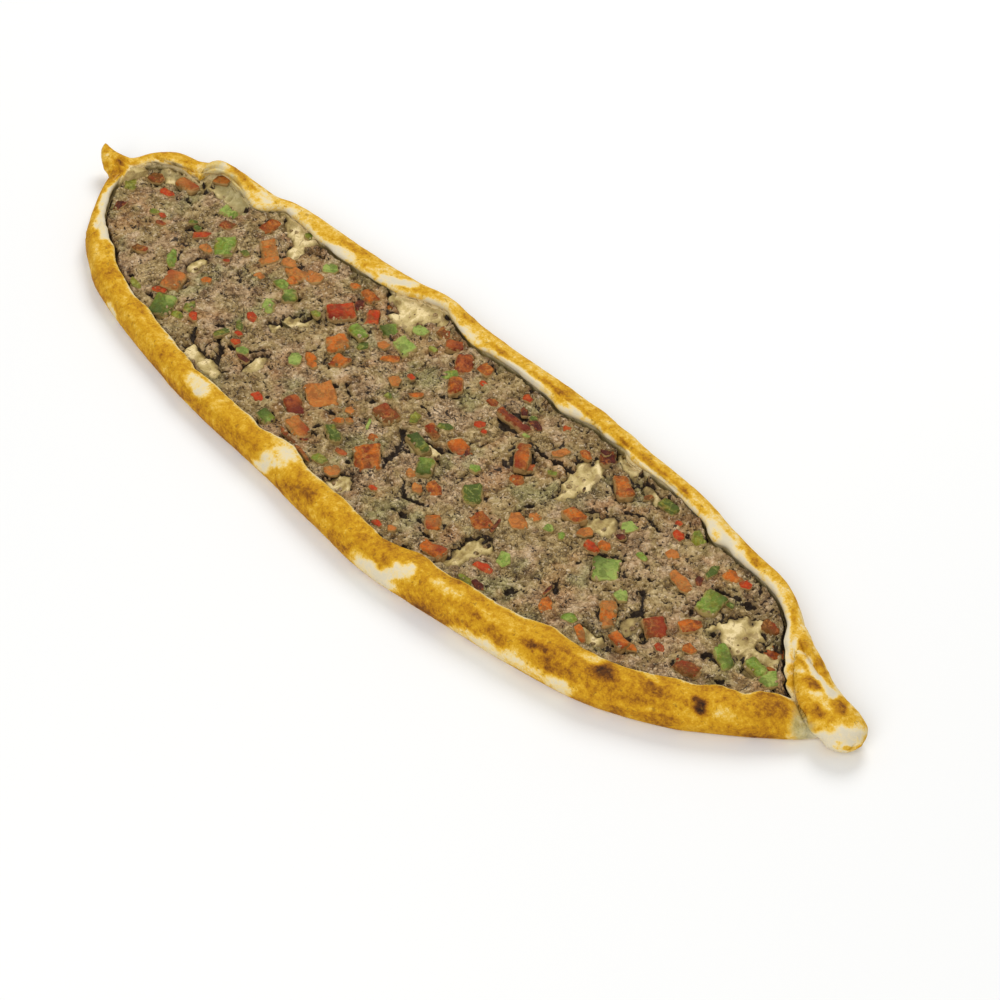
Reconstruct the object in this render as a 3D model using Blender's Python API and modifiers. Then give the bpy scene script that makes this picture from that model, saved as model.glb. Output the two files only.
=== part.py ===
"""Turkish pide: a boat of flat dough with rolled rims, a layer of cooked mince, and diced peppers and tomato.

X runs along the boat from its pinched ear to its folded knob, +Y is the straighter side, and Z is up.
The underside lies flat at z = 0 and the box's middle is at the origin. Sizes below are in millimetres.
"""

import math
import random

import bmesh
import bpy
from mathutils import Matrix, Vector, noise

MM = 0.001

# Dough
BASE_THICKNESS = 5.0
FOOT_INSET = 3.0
STATIONS = 124
STEPS_PER_ROW = 24
GAP = 0.3

# The rim all the way round, from the ear along +Y to the knob and back along -Y:
# outermost point x, y, width of the rolled rim, and height of its crest.
RIM = [
    (-241, 12, 11, 12),
    (-237, 21, 9, 12),
    (-231, 31, 9, 14),
    (-222, 39, 11, 15),
    (-211, 43, 12, 14),
    (-206, 50, 12, 15),
    (-195, 53, 9, 14),
    (-168, 55, 14, 14),
    (-148, 59, 10, 13),
    (-113, 62, 15, 13),
    (-77, 64.5, 14, 13),
    (-55, 67.5, 10, 14),
    (-27, 67, 13, 14),
    (5, 67, 12, 14),
    (42, 69, 14, 14),
    (77, 66.5, 11.5, 14),
    (107, 64, 9.5, 14),
    (134, 61, 11, 14),
    (155, 57, 10, 14),
    (175, 54, 9, 14),
    (192, 46.5, 9, 14),
    (203, 37.5, 10, 14),
    (217, 27.5, 12, 13),
    (230, 20, 15, 12),
    (237, 12, 19, 12),
    (232, 2, 16, 13),
    (219, -11, 15, 15),
    (204, -24.5, 15, 16),
    (189, -35.5, 15, 16),
    (165, -48, 16, 16),
    (138, -56, 16.5, 16.5),
    (100, -62.5, 16, 16),
    (50, -69, 14.5, 15),
    (14, -68, 14, 15),
    (-35, -64.5, 14, 14),
    (-86, -62, 12.5, 13),
    (-130, -56, 12.5, 13),
    (-171, -48, 12.5, 13),
    (-189, -40, 12.5, 13),
    (-202, -33, 11, 13),
    (-212, -25, 8, 12),
    (-227, -9, 6.5, 12),
    (-236, 3, 8, 12),
]

# Where the rolled edge sags inwards (+) or draws back (-): x, change of width, half length.
FAR_LIP_WAVES = [
    (-163, 2.5, 8),
    (-155, -2.5, 4),
    (-48, -2, 9),
    (-22, 1.5, 8),
    (36, 1.5, 7),
    (54, -1.5, 8),
    (70, -2.5, 5),
    (136, 2.5, 5),
]
NEAR_LIP_WAVES = [
    (-150, -1, 6),
    (-93, -1.5, 5),
    (-62, -1, 8),
    (-44, -2, 6),
    (-24, 2.5, 9),
    (-4, -1, 6),
    (43, -1.5, 6),
    (64, 2, 9),
    (131, 2.5, 8),
    (183, 2, 8),
]

# The rolled rim's section from the foot up and over to its lip: (share of the width, share of the height).
RIM_SECTION = [
    (0.07, 0.12),
    (0.0, 0.38),
    (0.05, 0.63),
    (0.19, 0.86),
    (0.38, 0.97),
    (0.62, 1.0),
    (0.86, 0.975),
    (0.97, 0.92),
    (1.0, 0.84),
    (0.95, 0.73),
    (0.87, 0.64),
]
FLOOR_RING_INSET = 0.25

# The middle line that the floor and the filling close on.
SPINE = [(-190, 10), (-120, 0), (0, 0), (120, 4), (185, 10)]
LEAST_FACING = 0.55

# The ear pinched out at one end, and the far rim's dough folded over the near rim into a knob at the other:
# each is a run of rounds (x, y, z, half width, half height).
EAR_ROUNDS = [
    (-229, 12.0, 6.0, 7.0, 5.3),
    (-236, 12.3, 7.4, 6.2, 5.8),
    (-243, 12.6, 9.2, 4.6, 5.4),
    (-247.2, 13.2, 11.0, 3.2, 4.0),
    (-250, 13.8, 12.8, 1.2, 1.6),
]
KNOB_ROUNDS = [
    (199, 36.0, 9.0, 3.0, 4.0),
    (206, 31.5, 9.4, 4.4, 5.0),
    (214, 26.0, 9.3, 5.8, 6.0),
    (223, 20.5, 8.6, 7.2, 6.6),
    (232, 17.3, 8.0, 8.8, 7.0),
    (240, 15.8, 7.5, 10.0, 7.3),
    (246, 14.7, 7.1, 8.8, 6.5),
    (249.6, 14.1, 6.9, 5.8, 4.8),
    (251.0, 13.9, 6.9, 2.2, 2.0),
]
ROUND_SIDES = 12
ROUND_LOWEST = 0.4

# Mince
MINCE_TOP = 8.8
MINCE_RELIEF = 0.7
MINCE_RELIEF_PER_MM = 0.08
MINCE_EDGE_GAP = 0.5
MINCE_RAGGED = 1.6
MINCE_RAGGED_PER_MM = 0.13
MINCE_STATIONS = 96
MINCE_RINGS = [0.0, 0.1, 0.4, 0.72]

# Places where the mince leaves the dough bare: x, y, half length, half width, turn in degrees.
BARE_PATCHES = [
    (-188, 42, 18, 4.5, -12),
    (-136, 47, 15, 4.0, -8),
    (-130, 36, 3, 6.0, 20),
    (-58, 53, 13, 6.5, 8),
    (-57, 41, 9, 3.5, -5),
    (72, 34, 5, 13.0, 12),
    (96, 21, 6, 5.5, -30),
    (71, -29, 4, 11.0, -6),
    (181, 22, 7, 9.0, 10),
    (4, -44, 5, 7.0, -20),
    (-98, -43, 9, 4.0, -5),
    (145, -8, 3.5, 5.0, 10),
    (-91, 4, 4, 9.0, -32),
    (12, -8, 6, 2.5, 0),
]
PATCH_SIDES = 11
PATCH_WOBBLE = 0.16
CUTTER_BELOW = 2.0
CUTTER_HEIGHT = 14.0

# Diced pieces pressed into the mince: x, y, length, width, turn in degrees.
GREEN_PEPPER = [
    (-221, 8, 10, 6.5, -40),
    (-173, 30, 11, 6, 0),
    (-153, 12, 13, 10, -45),
    (-106, 13.5, 9, 7, -40),
    (-108, 3, 11, 6, -50),
    (-139, -34, 14, 11, -60),
    (-57, 33, 9, 8, -20),
    (-44, 30, 10, 8, 0),
    (-65, 21, 12, 7, -5),
    (-49, -45, 9, 7, 0),
    (-21, -30, 12, 5, -22),
    (8, -5.5, 12, 6, -12),
    (21.5, -13, 10, 7, -50),
    (48, -9, 12, 8, -40),
    (108, 49, 12, 7, 0),
    (130, 45, 10, 6, -30),
    (117, 4, 14, 11, -50),
    (160, 23, 12, 10, -80),
    (185, 5.5, 14, 7, -25),
    (198, 11, 10, 6, -10),
]
RED_PEPPER = [
    (-81.5, 24, 13, 11, 55),
    (-69.5, 33.5, 11, 7, -45),
    (-29, 48.5, 10, 6.5, 40),
    (-17, 43, 11, 9, -45),
    (-47, -31, 13, 8.5, -25),
    (-62, -39, 9, 6, -10),
    (25, 35, 19, 5, 0),
    (69, 50, 10, 7, -35),
    (104, 8.5, 9, 4.5, 5),
]
TOMATO = [
    (-202, 27, 12, 7, 0),
    (-152, 38, 12, 8, -80),
    (-138, 27, 13, 8, -35),
    (-117, 26, 13, 7, 0),
    (-81, 40.5, 11, 6, -10),
    (-150, -20, 13, 10, -60),
    (-65.5, 9, 12, 10, -30),
    (-55.5, 2, 9, 8, -80),
    (-9, 30.5, 10, 6, -50),
    (-16, -4, 13, 9, -5),
    (-45, -16.5, 15, 14, -30),
    (-35, -38.5, 13, 7.5, -10),
    (0, -28, 15, 12, -40),
    (45, 22, 16, 7, -50),
    (22, 7, 12, 8, -15),
    (6, 4, 10, 5.5, -15),
    (61.5, -17, 12, 9, -15),
    (48, -32, 12, 7, -45),
    (61, -42.5, 12, 7, 15),
    (87, 42, 15, 8, -35),
    (86, 15, 11, 7, 0),
    (154, -3, 13, 9, -30),
    (136, -13, 14, 7, -40),
    (150, -20, 11, 6, -15),
    (185, 32, 10, 6.5, 0),
    (179, -9, 11, 8, 20),
]
DIE_BOTTOM = 6.1
DIE_TOP = 10.8
DIE_TOP_SPREAD = 0.6
DIE_SKEW = 0.13
DIE_EDGE = 1.1
POCKET_GAP = 0.35
POCKET_RISE = 4.0
SEED = 7


def smooth_loop(rows, count):
    """Evenly spaced rows along a closed Catmull-Rom curve through the given rows."""
    points = []
    for i in range(len(rows)):
        a, b, c, d = (Vector(rows[(i + k) % len(rows)]) for k in (-1, 0, 1, 2))
        for j in range(STEPS_PER_ROW):
            t = j / STEPS_PER_ROW
            points.append(
                b + 0.5 * t * (c - a + t * (2 * a - 5 * b + 4 * c - d + t * (3 * (b - c) + d - a)))
            )
    lengths = [0.0]
    for i, p in enumerate(points):
        q = points[(i + 1) % len(points)]
        lengths.append(lengths[-1] + (q.xy - p.xy).length)
    result = []
    i = 0
    for k in range(count):
        target = lengths[-1] * k / count
        while lengths[i + 1] < target:
            i += 1
        share = (target - lengths[i]) / (lengths[i + 1] - lengths[i])
        result.append(points[i].lerp(points[(i + 1) % len(points)], share))
    return result


def line_at(points, x):
    """Height of a broken line through (x, y) points, level past its ends."""
    if x <= points[0][0]:
        return points[0][1]
    for (x0, y0), (x1, y1) in zip(points, points[1:]):
        if x <= x1:
            return y0 + (y1 - y0) * (x - x0) / (x1 - x0)
    return points[-1][1]


def lip_wave(x, y):
    waves = FAR_LIP_WAVES if y > line_at(SPINE, x) else NEAR_LIP_WAVES
    return sum(change * math.exp(-(((x - middle) / half) ** 2)) for middle, change, half in waves)


def rim_stations(count):
    """(outer point, step towards the spine that is 1 mm square to the rim, width, height) round the rim."""
    rows = smooth_loop([Vector(row) for row in RIM], count)
    stations = []
    for i, row in enumerate(rows):
        along = rows[(i + 1) % count].xy - rows[i - 1].xy
        normal = Vector((along.y, -along.x)).normalized()
        inward = (spine_point(row) - row.xy).normalized()
        step = inward / max(inward.dot(normal), LEAST_FACING)
        stations.append((row.xy, step, row[2] + lip_wave(row[0], row[1]), row[3]))
    return stations


def spine_point(point):
    x = min(max(point.x, SPINE[0][0]), SPINE[-1][0])
    return Vector((x, line_at(SPINE, x)))


def new_object(name, mesh, collection, material=None):
    piece = bpy.data.objects.new(name, mesh)
    collection.objects.link(piece)
    if material:
        mesh.materials.append(material)
    return piece


def mesh_from_rings(name, rings):
    """Closed mesh lofted through rings of points of equal length, with the first and last ring capped."""
    shape = bmesh.new()
    rows = [[shape.verts.new(Vector(p) * MM) for p in ring] for ring in rings]
    count = len(rings[0])
    for lower, upper in zip(rows, rows[1:]):
        for i in range(count):
            j = (i + 1) % count
            shape.faces.new((lower[i], lower[j], upper[j], upper[i]))
    shape.faces.new(rows[0])
    shape.faces.new(rows[-1])
    bmesh.ops.triangulate(shape, faces=shape.faces)
    bmesh.ops.recalc_face_normals(shape, faces=shape.faces)
    mesh = bpy.data.meshes.new(name)
    shape.to_mesh(mesh)
    shape.free()
    return mesh


def dough_rings():
    stations = rim_stations(STATIONS)
    foot = [p + n * FOOT_INSET for p, n, _, _ in stations]
    rings = [[(q.x, q.y, 0.0) for q in foot]]
    for inset, rise in RIM_SECTION:
        rings.append([(*(p + n * w * inset), h * rise) for p, n, w, h in stations])
    wall_foot = [p + n * (w * RIM_SECTION[-1][0]) for p, n, w, _ in stations]
    rings.append([(q.x, q.y, BASE_THICKNESS + FLOOR_RING_INSET) for q in wall_foot])
    floor = [p + n * w for p, n, w, _ in stations]
    rings.append([(q.x, q.y, BASE_THICKNESS) for q in floor])
    return rings


def swept_rounds(name, rounds, collection):
    """Closed tube through upright oval rounds, capped at both ends."""
    shape = bmesh.new()
    rows = []
    for i, (x, y, z, half_width, half_height) in enumerate(rounds):
        before = rounds[max(i - 1, 0)]
        after = rounds[min(i + 1, len(rounds) - 1)]
        along = Vector((after[0] - before[0], after[1] - before[1])).normalized()
        across = Vector((-along.y, along.x))
        row = []
        for k in range(ROUND_SIDES):
            angle = 2 * math.pi * k / ROUND_SIDES
            side = across * half_width * math.cos(angle)
            point = Vector((x + side.x, y + side.y, max(z + half_height * math.sin(angle), ROUND_LOWEST)))
            row.append(shape.verts.new(point * MM))
        rows.append(row)
    for lower, upper in zip(rows, rows[1:]):
        for k in range(ROUND_SIDES):
            j = (k + 1) % ROUND_SIDES
            shape.faces.new((lower[k], lower[j], upper[j], upper[k]))
    shape.faces.new(rows[0])
    shape.faces.new(rows[-1])
    bmesh.ops.recalc_face_normals(shape, faces=shape.faces)
    mesh = bpy.data.meshes.new(name)
    shape.to_mesh(mesh)
    shape.free()
    return new_object(name, mesh, collection)


def join_with(piece, other):
    union = piece.modifiers.new("join " + other.name, "BOOLEAN")
    union.operation = "UNION"
    union.object = other
    union.solver = "EXACT"


def make_dough(parts, cutters):
    dough = new_object("dough_boat", mesh_from_rings("dough_boat", dough_rings()), parts, crust_material())
    join_with(dough, swept_rounds("ear_form", EAR_ROUNDS, cutters))
    join_with(dough, swept_rounds("knob_form", KNOB_ROUNDS, cutters))
    return dough


def mince_rings():
    """Rings of the mince: its underside, its ragged edge, and its uneven top drawn in towards the spine."""
    outline = []
    for point, normal, width, _ in rim_stations(MINCE_STATIONS):
        ragged = MINCE_RAGGED * (0.5 + noise.noise(point.to_3d() * MINCE_RAGGED_PER_MM))
        outline.append(point + normal * (width + MINCE_EDGE_GAP + max(ragged, 0.0)))
    bottom = BASE_THICKNESS + GAP
    rings = [[(q.x, q.y, bottom) for q in outline]]
    middle = [spine_point(q) for q in outline]
    for share in MINCE_RINGS:
        ring = []
        for q, m in zip(outline, middle):
            place = q.lerp(m, share)
            ring.append((place.x, place.y, mince_top(place)))
        rings.append(ring)
    return rings


def mince_top(place):
    return MINCE_TOP + MINCE_RELIEF * noise.noise(place.to_3d() * MINCE_RELIEF_PER_MM)


def bare_patch(index, patch, cutters):
    """Upright cutter with an irregular rounded outline."""
    x, y, half_length, half_width, turn = patch
    picker = random.Random(SEED * 100 + index)
    shape = bmesh.new()
    outline = []
    for k in range(PATCH_SIDES):
        angle = 2 * math.pi * k / PATCH_SIDES
        wobble = 1 + picker.uniform(-PATCH_WOBBLE, PATCH_WOBBLE)
        point = Vector((half_length * math.cos(angle) * wobble, half_width * math.sin(angle) * wobble, 0))
        point.rotate(Matrix.Rotation(math.radians(turn), 3, "Z"))
        outline.append(shape.verts.new((point + Vector((x, y, BASE_THICKNESS - CUTTER_BELOW))) * MM))
    face = shape.faces.new(outline)
    raised = bmesh.ops.extrude_face_region(shape, geom=[face])["geom"]
    lift = [g for g in raised if isinstance(g, bmesh.types.BMVert)]
    bmesh.ops.translate(shape, vec=(0, 0, CUTTER_HEIGHT * MM), verts=lift)
    bmesh.ops.recalc_face_normals(shape, faces=shape.faces)
    mesh = bpy.data.meshes.new(f"bare_{index:02d}")
    shape.to_mesh(mesh)
    shape.free()
    return new_object(mesh.name, mesh, cutters)


def make_mince(parts, cutters):
    mince = new_object("mince_filling", mesh_from_rings("mince_filling", mince_rings()), parts, mince_material())
    for index, patch in enumerate(BARE_PATCHES):
        bare_patch(index, patch, cutters)
    cut = mince.modifiers.new("bare patches and pockets", "BOOLEAN")
    cut.operation = "DIFFERENCE"
    cut.operand_type = "COLLECTION"
    cut.collection = cutters
    cut.solver = "EXACT"
    return mince


def skewed_block(name, size, picker, grow, skew):
    """A cut block with upright sides, whose corners are each a little off square and whose top slopes a little."""
    shape = bmesh.new()
    bmesh.ops.create_cube(shape, size=1)
    off = {}
    for corner in ((-1, -1), (-1, 1), (1, -1), (1, 1)):
        off[corner] = (picker.uniform(-skew, skew), picker.uniform(-skew, skew), picker.uniform(-skew, skew))
    for vert in shape.verts:
        sides = (int(math.copysign(1, vert.co.x)), int(math.copysign(1, vert.co.y)))
        x, y = (sides[axis] * (size[axis] * (0.5 + 0.5 * off[sides][axis]) + grow) for axis in (0, 1))
        z = size[2] * (1 + 0.5 * off[sides][2]) if vert.co.z > 0 else -grow
        vert.co = Vector((x, y, z)) * MM
    mesh = bpy.data.meshes.new(name)
    shape.to_mesh(mesh)
    shape.free()
    return mesh


def make_dice(kind, rows, material, parts, pockets, seed):
    """Each diced piece, and the slightly larger pocket that the mince keeps for it."""
    for index, (x, y, length, width, turn) in enumerate(rows):
        name = f"{kind}_{index + 1:02d}"
        draw = random.Random(seed * 1000 + index)
        height = DIE_TOP - DIE_BOTTOM + draw.uniform(-DIE_TOP_SPREAD, DIE_TOP_SPREAD)
        size = (length, width, height)
        place = Matrix.Translation(Vector((x, y, DIE_BOTTOM)) * MM) @ Matrix.Rotation(math.radians(turn), 4, "Z")
        corner_seed = seed * 1000 + 500 + index
        die = new_object(name, skewed_block(name, size, random.Random(corner_seed), 0, DIE_SKEW), parts, material)
        die.matrix_world = place
        edges = die.modifiers.new("soft edges", "BEVEL")
        edges.width = DIE_EDGE * MM
        pocket_size = (length, width, height + POCKET_RISE)
        mesh = skewed_block(name + "_pocket", pocket_size, random.Random(corner_seed), POCKET_GAP, DIE_SKEW)
        pocket = new_object(name + "_pocket", mesh, pockets)
        pocket.matrix_world = place


def finish(name, colour, roughness):
    """Principled material with no metal in it."""
    material = bpy.data.materials.new(name)
    material.use_nodes = True
    shader = material.node_tree.nodes["Principled BSDF"]
    shader.inputs["Base Color"].default_value = (*colour, 1)
    shader.inputs["Roughness"].default_value = roughness
    shader.inputs["Metallic"].default_value = 0.0
    material.diffuse_color = (*colour, 1)
    return material


def crust_material():
    return finish("baked_crust", (0.66, 0.36, 0.06), 0.75)


def mince_material():
    return finish("cooked_mince", (0.33, 0.22, 0.14), 0.55)


def green_pepper_material():
    return finish("green_pepper", (0.20, 0.30, 0.05), 0.4)


def red_pepper_material():
    return finish("red_pepper", (0.48, 0.04, 0.02), 0.35)


def tomato_material():
    return finish("tomato", (0.52, 0.13, 0.03), 0.4)


def hide_helpers(collection):
    for helper in collection.all_objects:
        helper.hide_render = True
        helper.display_type = "WIRE"


def main():
    for old in list(bpy.data.objects):
        bpy.data.objects.remove(old, do_unlink=True)
    scene = bpy.context.scene
    parts = bpy.data.collections.new("turkish_pide")
    forms = bpy.data.collections.new("forms")
    cutters = bpy.data.collections.new("cutters")
    for collection in (parts, forms, cutters):
        scene.collection.children.link(collection)
    make_dough(parts, forms)
    make_dice("green_pepper", GREEN_PEPPER, green_pepper_material(), parts, cutters, SEED)
    make_dice("red_pepper", RED_PEPPER, red_pepper_material(), parts, cutters, SEED + 1)
    make_dice("tomato", TOMATO, tomato_material(), parts, cutters, SEED + 2)
    make_mince(parts, cutters)
    hide_helpers(forms)
    hide_helpers(cutters)
    scene.unit_settings.system = "METRIC"


main()
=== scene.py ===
import itertools
import math
import random

import bmesh
import bpy
import numpy as np
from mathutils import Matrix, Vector, kdtree


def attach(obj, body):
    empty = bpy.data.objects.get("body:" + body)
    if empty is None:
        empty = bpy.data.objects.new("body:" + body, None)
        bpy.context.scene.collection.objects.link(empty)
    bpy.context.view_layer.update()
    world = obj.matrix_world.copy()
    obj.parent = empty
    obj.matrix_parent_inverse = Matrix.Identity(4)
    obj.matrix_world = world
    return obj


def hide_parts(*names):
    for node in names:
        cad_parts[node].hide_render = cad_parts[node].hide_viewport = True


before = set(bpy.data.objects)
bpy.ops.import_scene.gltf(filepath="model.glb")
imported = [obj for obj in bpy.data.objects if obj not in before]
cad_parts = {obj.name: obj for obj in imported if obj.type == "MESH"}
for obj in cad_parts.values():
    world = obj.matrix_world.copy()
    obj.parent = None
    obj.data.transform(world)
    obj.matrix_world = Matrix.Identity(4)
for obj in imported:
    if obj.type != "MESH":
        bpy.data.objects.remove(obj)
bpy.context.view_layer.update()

MM = 0.001

# ---------------------------------------------------------------------------------------------------------
# Dough boat
# One sheet of yeast dough about 5 mm thick. Its edge is rolled inwards into a soft rim all the way round,
# pinched out into an ear at one end, and at the other the far rim is folded over the near one into a knob.
# It is baked on an oven floor: golden on top, browner where it blistered, and white where bench flour stuck.

# The rim all the way round, in millimetres, from the ear along +Y to the knob and back along -Y:
# outermost point x, y, width of the rolled rim, and height of its crest.
RIM = [
    (-239.5, 14, 10, 12), (-236, 23, 9, 12), (-230, 32, 9, 14), (-221, 39.5, 11, 15), (-208, 44.3, 12, 14),
    (-203.5, 50.5, 12, 15), (-195, 53, 9, 14), (-168, 55, 14, 14), (-148, 59, 10, 13), (-113, 62, 15, 13),
    (-77, 64.5, 14, 13), (-55, 67.5, 10, 14), (-27, 67, 13, 14), (5, 67, 12, 14), (42, 69, 14, 14),
    (77, 66.5, 11.5, 14), (107, 65, 9.8, 14), (134, 61, 11, 14), (155, 57, 10, 14), (175, 54, 9, 14),
    (191.5, 45.6, 9, 14), (202.5, 36.4, 10, 14), (217, 27.5, 12, 13), (230, 20, 15, 11), (237, 12, 19, 9.5),
    (232, 2, 18, 12.4), (219, -11, 15.5, 14.4), (204, -24.5, 15.5, 15.4), (189, -35.5, 15, 16),
    (165, -48, 16, 16), (138, -56, 16.5, 16.5), (100, -62.5, 16, 16), (50, -69, 14.5, 15),
    (14, -68, 14, 15), (-35, -64.5, 14, 14), (-86, -62, 12.5, 13), (-130, -56, 12.5, 13),
    (-171, -48, 12.5, 13), (-189, -40, 12.5, 13), (-202, -33, 11, 13), (-211.5, -24.5, 8, 12),
    (-226, -7.5, 6.5, 12), (-234.5, 4.5, 8, 12),
]
# Where the rolled edge sags inwards (+) or draws back (-): x, change of width, half length.
FAR_LIP_WAVES = [
    (-163, 2.5, 8), (-155, -2.5, 4), (-48, -2, 9), (-22, 1.5, 8), (36, 1.5, 7), (54, -1.5, 8),
    (70, -2.5, 5), (136, 2.5, 5),
]
NEAR_LIP_WAVES = [
    (-150, -1, 6), (-93, -1.5, 5), (-62, -1, 8), (-44, -2, 6), (-24, 2.5, 9), (-4, -1, 6), (43, -1.5, 6),
    (64, 2, 9), (131, 2.5, 8), (183, 2, 8), (205, 1.2, 6), (218, -2, 5),
]
# The rolled rim's section from the foot up and over to its lip: (share of the width, share of the height).
RIM_SECTION = [
    (0.07, 0.12), (0, 0.38), (0.05, 0.63), (0.19, 0.86), (0.38, 0.97), (0.62, 1), (0.86, 0.975),
    (0.97, 0.92), (1, 0.84), (0.95, 0.73), (0.87, 0.64),
]
# The line along the middle of the boat.
SPINE_X = [-190, -120, 0, 120, 185]
SPINE_Y = [10, 0, 0, 4, 10]
FOOT_INSET = 3.0
FLOOR_HEIGHT = 5.0
# Least share of a station's inward direction that is square to the rim.
LEAST_FACING = 0.55
# Mesh density: cuts between rows of RIM, stations round the rim, cuts between rows of RIM_SECTION, and rings.
RIM_CUTS = 24
RIM_STATIONS = 860
SECTION_CUTS = 4
FLOOR_RINGS = 38
# How the bare dough fills the undercut of the rim, and how high and how far out it runs up against the wall.
UNDERCUT_FILL = 0.85
RUN_UP = 1.5
RUN_UP_SHARE = 0.16
# Reach within which the dough is wholly bare, and beyond which it is covered.
BARE_INSIDE = 0.75
BARE_OUTSIDE = 1.35

# Where the filling leaves the dough bare: x, y, half length, half width, turn in degrees, rise of the dough.
BARE_DOUGH = [
    (-183, 40, 21, 6.8, -11, 2.2), (-138, 46.5, 17, 5.5, -8, 2.4), (-130, 37, 4, 7, 20, 2.2),
    (-60, 53, 17, 7.5, 8, 2.6), (-57, 42, 10, 4.5, -5, 2.2), (71, 35, 6.5, 14, 12, 2.4),
    (96, 21, 7, 6.5, -30, 2.7), (71, -32, 5.5, 13, -6, 2.3), (180, 22, 10, 12, 10, 2.4),
    (194, 17, 9, 8, -40, 1.5), (4, -46, 6, 8, -20, 2.4), (-98, -43, 12, 5, -5, 2.3), (145, -9, 4, 6, 10, 2),
    (-91, 4, 5, 10, -32, 2.2), (12, -7, 8, 3, 0, 2.4), (-153, -6, 3.5, 6.5, 20, 2.6),
    (-212, 27, 12, 4.5, 15, 2.3), (-80, -27, 3.2, 7, 5, 2.1), (141, -26, 7, 3.6, 0, 2.2),
    (15, -2, 5.5, 3, 0, 2.2), (80, 54, 8, 3.5, -10, 2.1), (100, 50, 9, 3, -8, 1.7),
    (-226, 15, 5, 4, 60, 2.3),
]


def lumps(places, size, seed=0):
    """Smooth noise from -1 to 1, with lumps about size across, at each row of places."""
    scaled = places / size + 17.3 * seed
    cell = np.floor(scaled).astype(np.int64)
    share = scaled - cell
    share = share * share * (3 - 2 * share)
    total = np.zeros(len(places))
    for corner in itertools.product((0, 1), repeat=places.shape[1]):
        mixed = np.full(len(places), seed * 1013 + 7, np.int64)
        for axis, prime in zip(range(places.shape[1]), (73856093, 19349663, 83492791)):
            mixed ^= (cell[:, axis] + corner[axis]) * prime
        mixed = ((mixed ^ (mixed >> 13)) * 1274126177) & 0xFFFFFFFF
        mixed = (mixed ^ (mixed >> 16)) & 0xFFFF
        total += np.prod(np.where(corner, share, 1 - share), axis=1) * mixed
    return total / 32767.5 - 1


def ease(value, low, high):
    """0 below low, 1 above high, and smooth between."""
    share = np.clip((value - low) / (high - low), 0, 1)
    return share * share * (3 - 2 * share)


def oval_reach(x, y, oval):
    """Reach of each place in an oval (x, y, half length, half width, turn): 0 amid it and 1 on its edge."""
    turn = math.radians(oval[4])
    along = (x - oval[0]) * math.cos(turn) + (y - oval[1]) * math.sin(turn)
    across = (y - oval[1]) * math.cos(turn) - (x - oval[0]) * math.sin(turn)
    return np.hypot(along / oval[2], across / oval[3])


def hump(gap, half_width):
    """1 where the gap is 0, fading away over about the half width."""
    return np.exp(-((gap / half_width) ** 2))


def line_gap(x, y, line):
    """(distance of each place from a broken line, 1 to the left of the line and -1 to the right)."""
    nearest = np.full(len(x), 1e9)
    side = np.zeros(len(x))
    for (x0, y0), (x1, y1) in zip(line, line[1:]):
        dx, dy = x1 - x0, y1 - y0
        share = np.clip(((x - x0) * dx + (y - y0) * dy) / (dx * dx + dy * dy), 0, 1)
        gap = np.hypot(x - x0 - share * dx, y - y0 - share * dy)
        side = np.where(gap < nearest, np.sign(dx * (y - y0) - dy * (x - x0)), side)
        nearest = np.minimum(nearest, gap)
    return nearest, side


def through(rows, steps, closed):
    """Finely spaced rows of a Catmull-Rom curve through the given rows."""
    rows = np.array(rows, float)
    last = len(rows) if closed else len(rows) - 1
    share = (np.arange(steps) / steps).reshape(-1, *[1] * (rows.ndim - 1))
    spans = []
    for i in range(last):
        if closed:
            a, b, c, d = (rows[(i + k) % len(rows)] for k in (-1, 0, 1, 2))
        else:
            a, b, c, d = (rows[min(max(i + k, 0), last)] for k in (-1, 0, 1, 2))
        bend = 2 * a - 5 * b + 4 * c - d + share * (3 * (b - c) + d - a)
        spans.append(b + 0.5 * share * (c - a + share * bend))
    spans.append(rows[:1] if closed else rows[-1:])
    return np.concatenate(spans)


def evenly(rows, count):
    """Rows of a closed curve, evenly spaced along x and y."""
    run = np.concatenate([[0], np.cumsum(np.hypot(*np.diff(rows[:, :2], axis=0).T))])
    at = np.linspace(0, run[-1], count, endpoint=False)
    return np.stack([np.interp(at, run, rows[:, k]) for k in range(rows.shape[1])], axis=1)


def spine_places(places):
    """The place on the spine beside each place."""
    x = np.clip(places[:, 0], SPINE_X[0], SPINE_X[-1])
    return np.stack([x, np.interp(x, SPINE_X, SPINE_Y)], axis=1)


def puckers(places):
    """The fine folds of the wet dough, which run in from the rim: 1 on their crests, below 0 between them."""
    drawn_out = np.stack([places[:, 0] + 0.3 * places[:, 1], 0.4 * places[:, 1]], axis=1)
    return 1 - 3 * np.abs(lumps(drawn_out, 3.4, 8))


def bare_reach(x, y):
    """(least reach of the bare ovals, roughened and below 1 on bare dough, the rise of the dough there)."""
    places = np.stack([x, y], axis=1)
    rough = 0.32 * lumps(places, 7, 3) + 0.34 * lumps(places, 3.2, 4) + 0.2 * lumps(places, 1.5, 5)
    nearest = np.full(len(x), 9.0)
    rise = np.zeros(len(x))
    for oval in BARE_DOUGH:
        reach = oval_reach(x, y, oval) + rough
        rise = np.where(reach < nearest, oval[5], rise)
        nearest = np.minimum(nearest, reach)
    return nearest, rise


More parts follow.
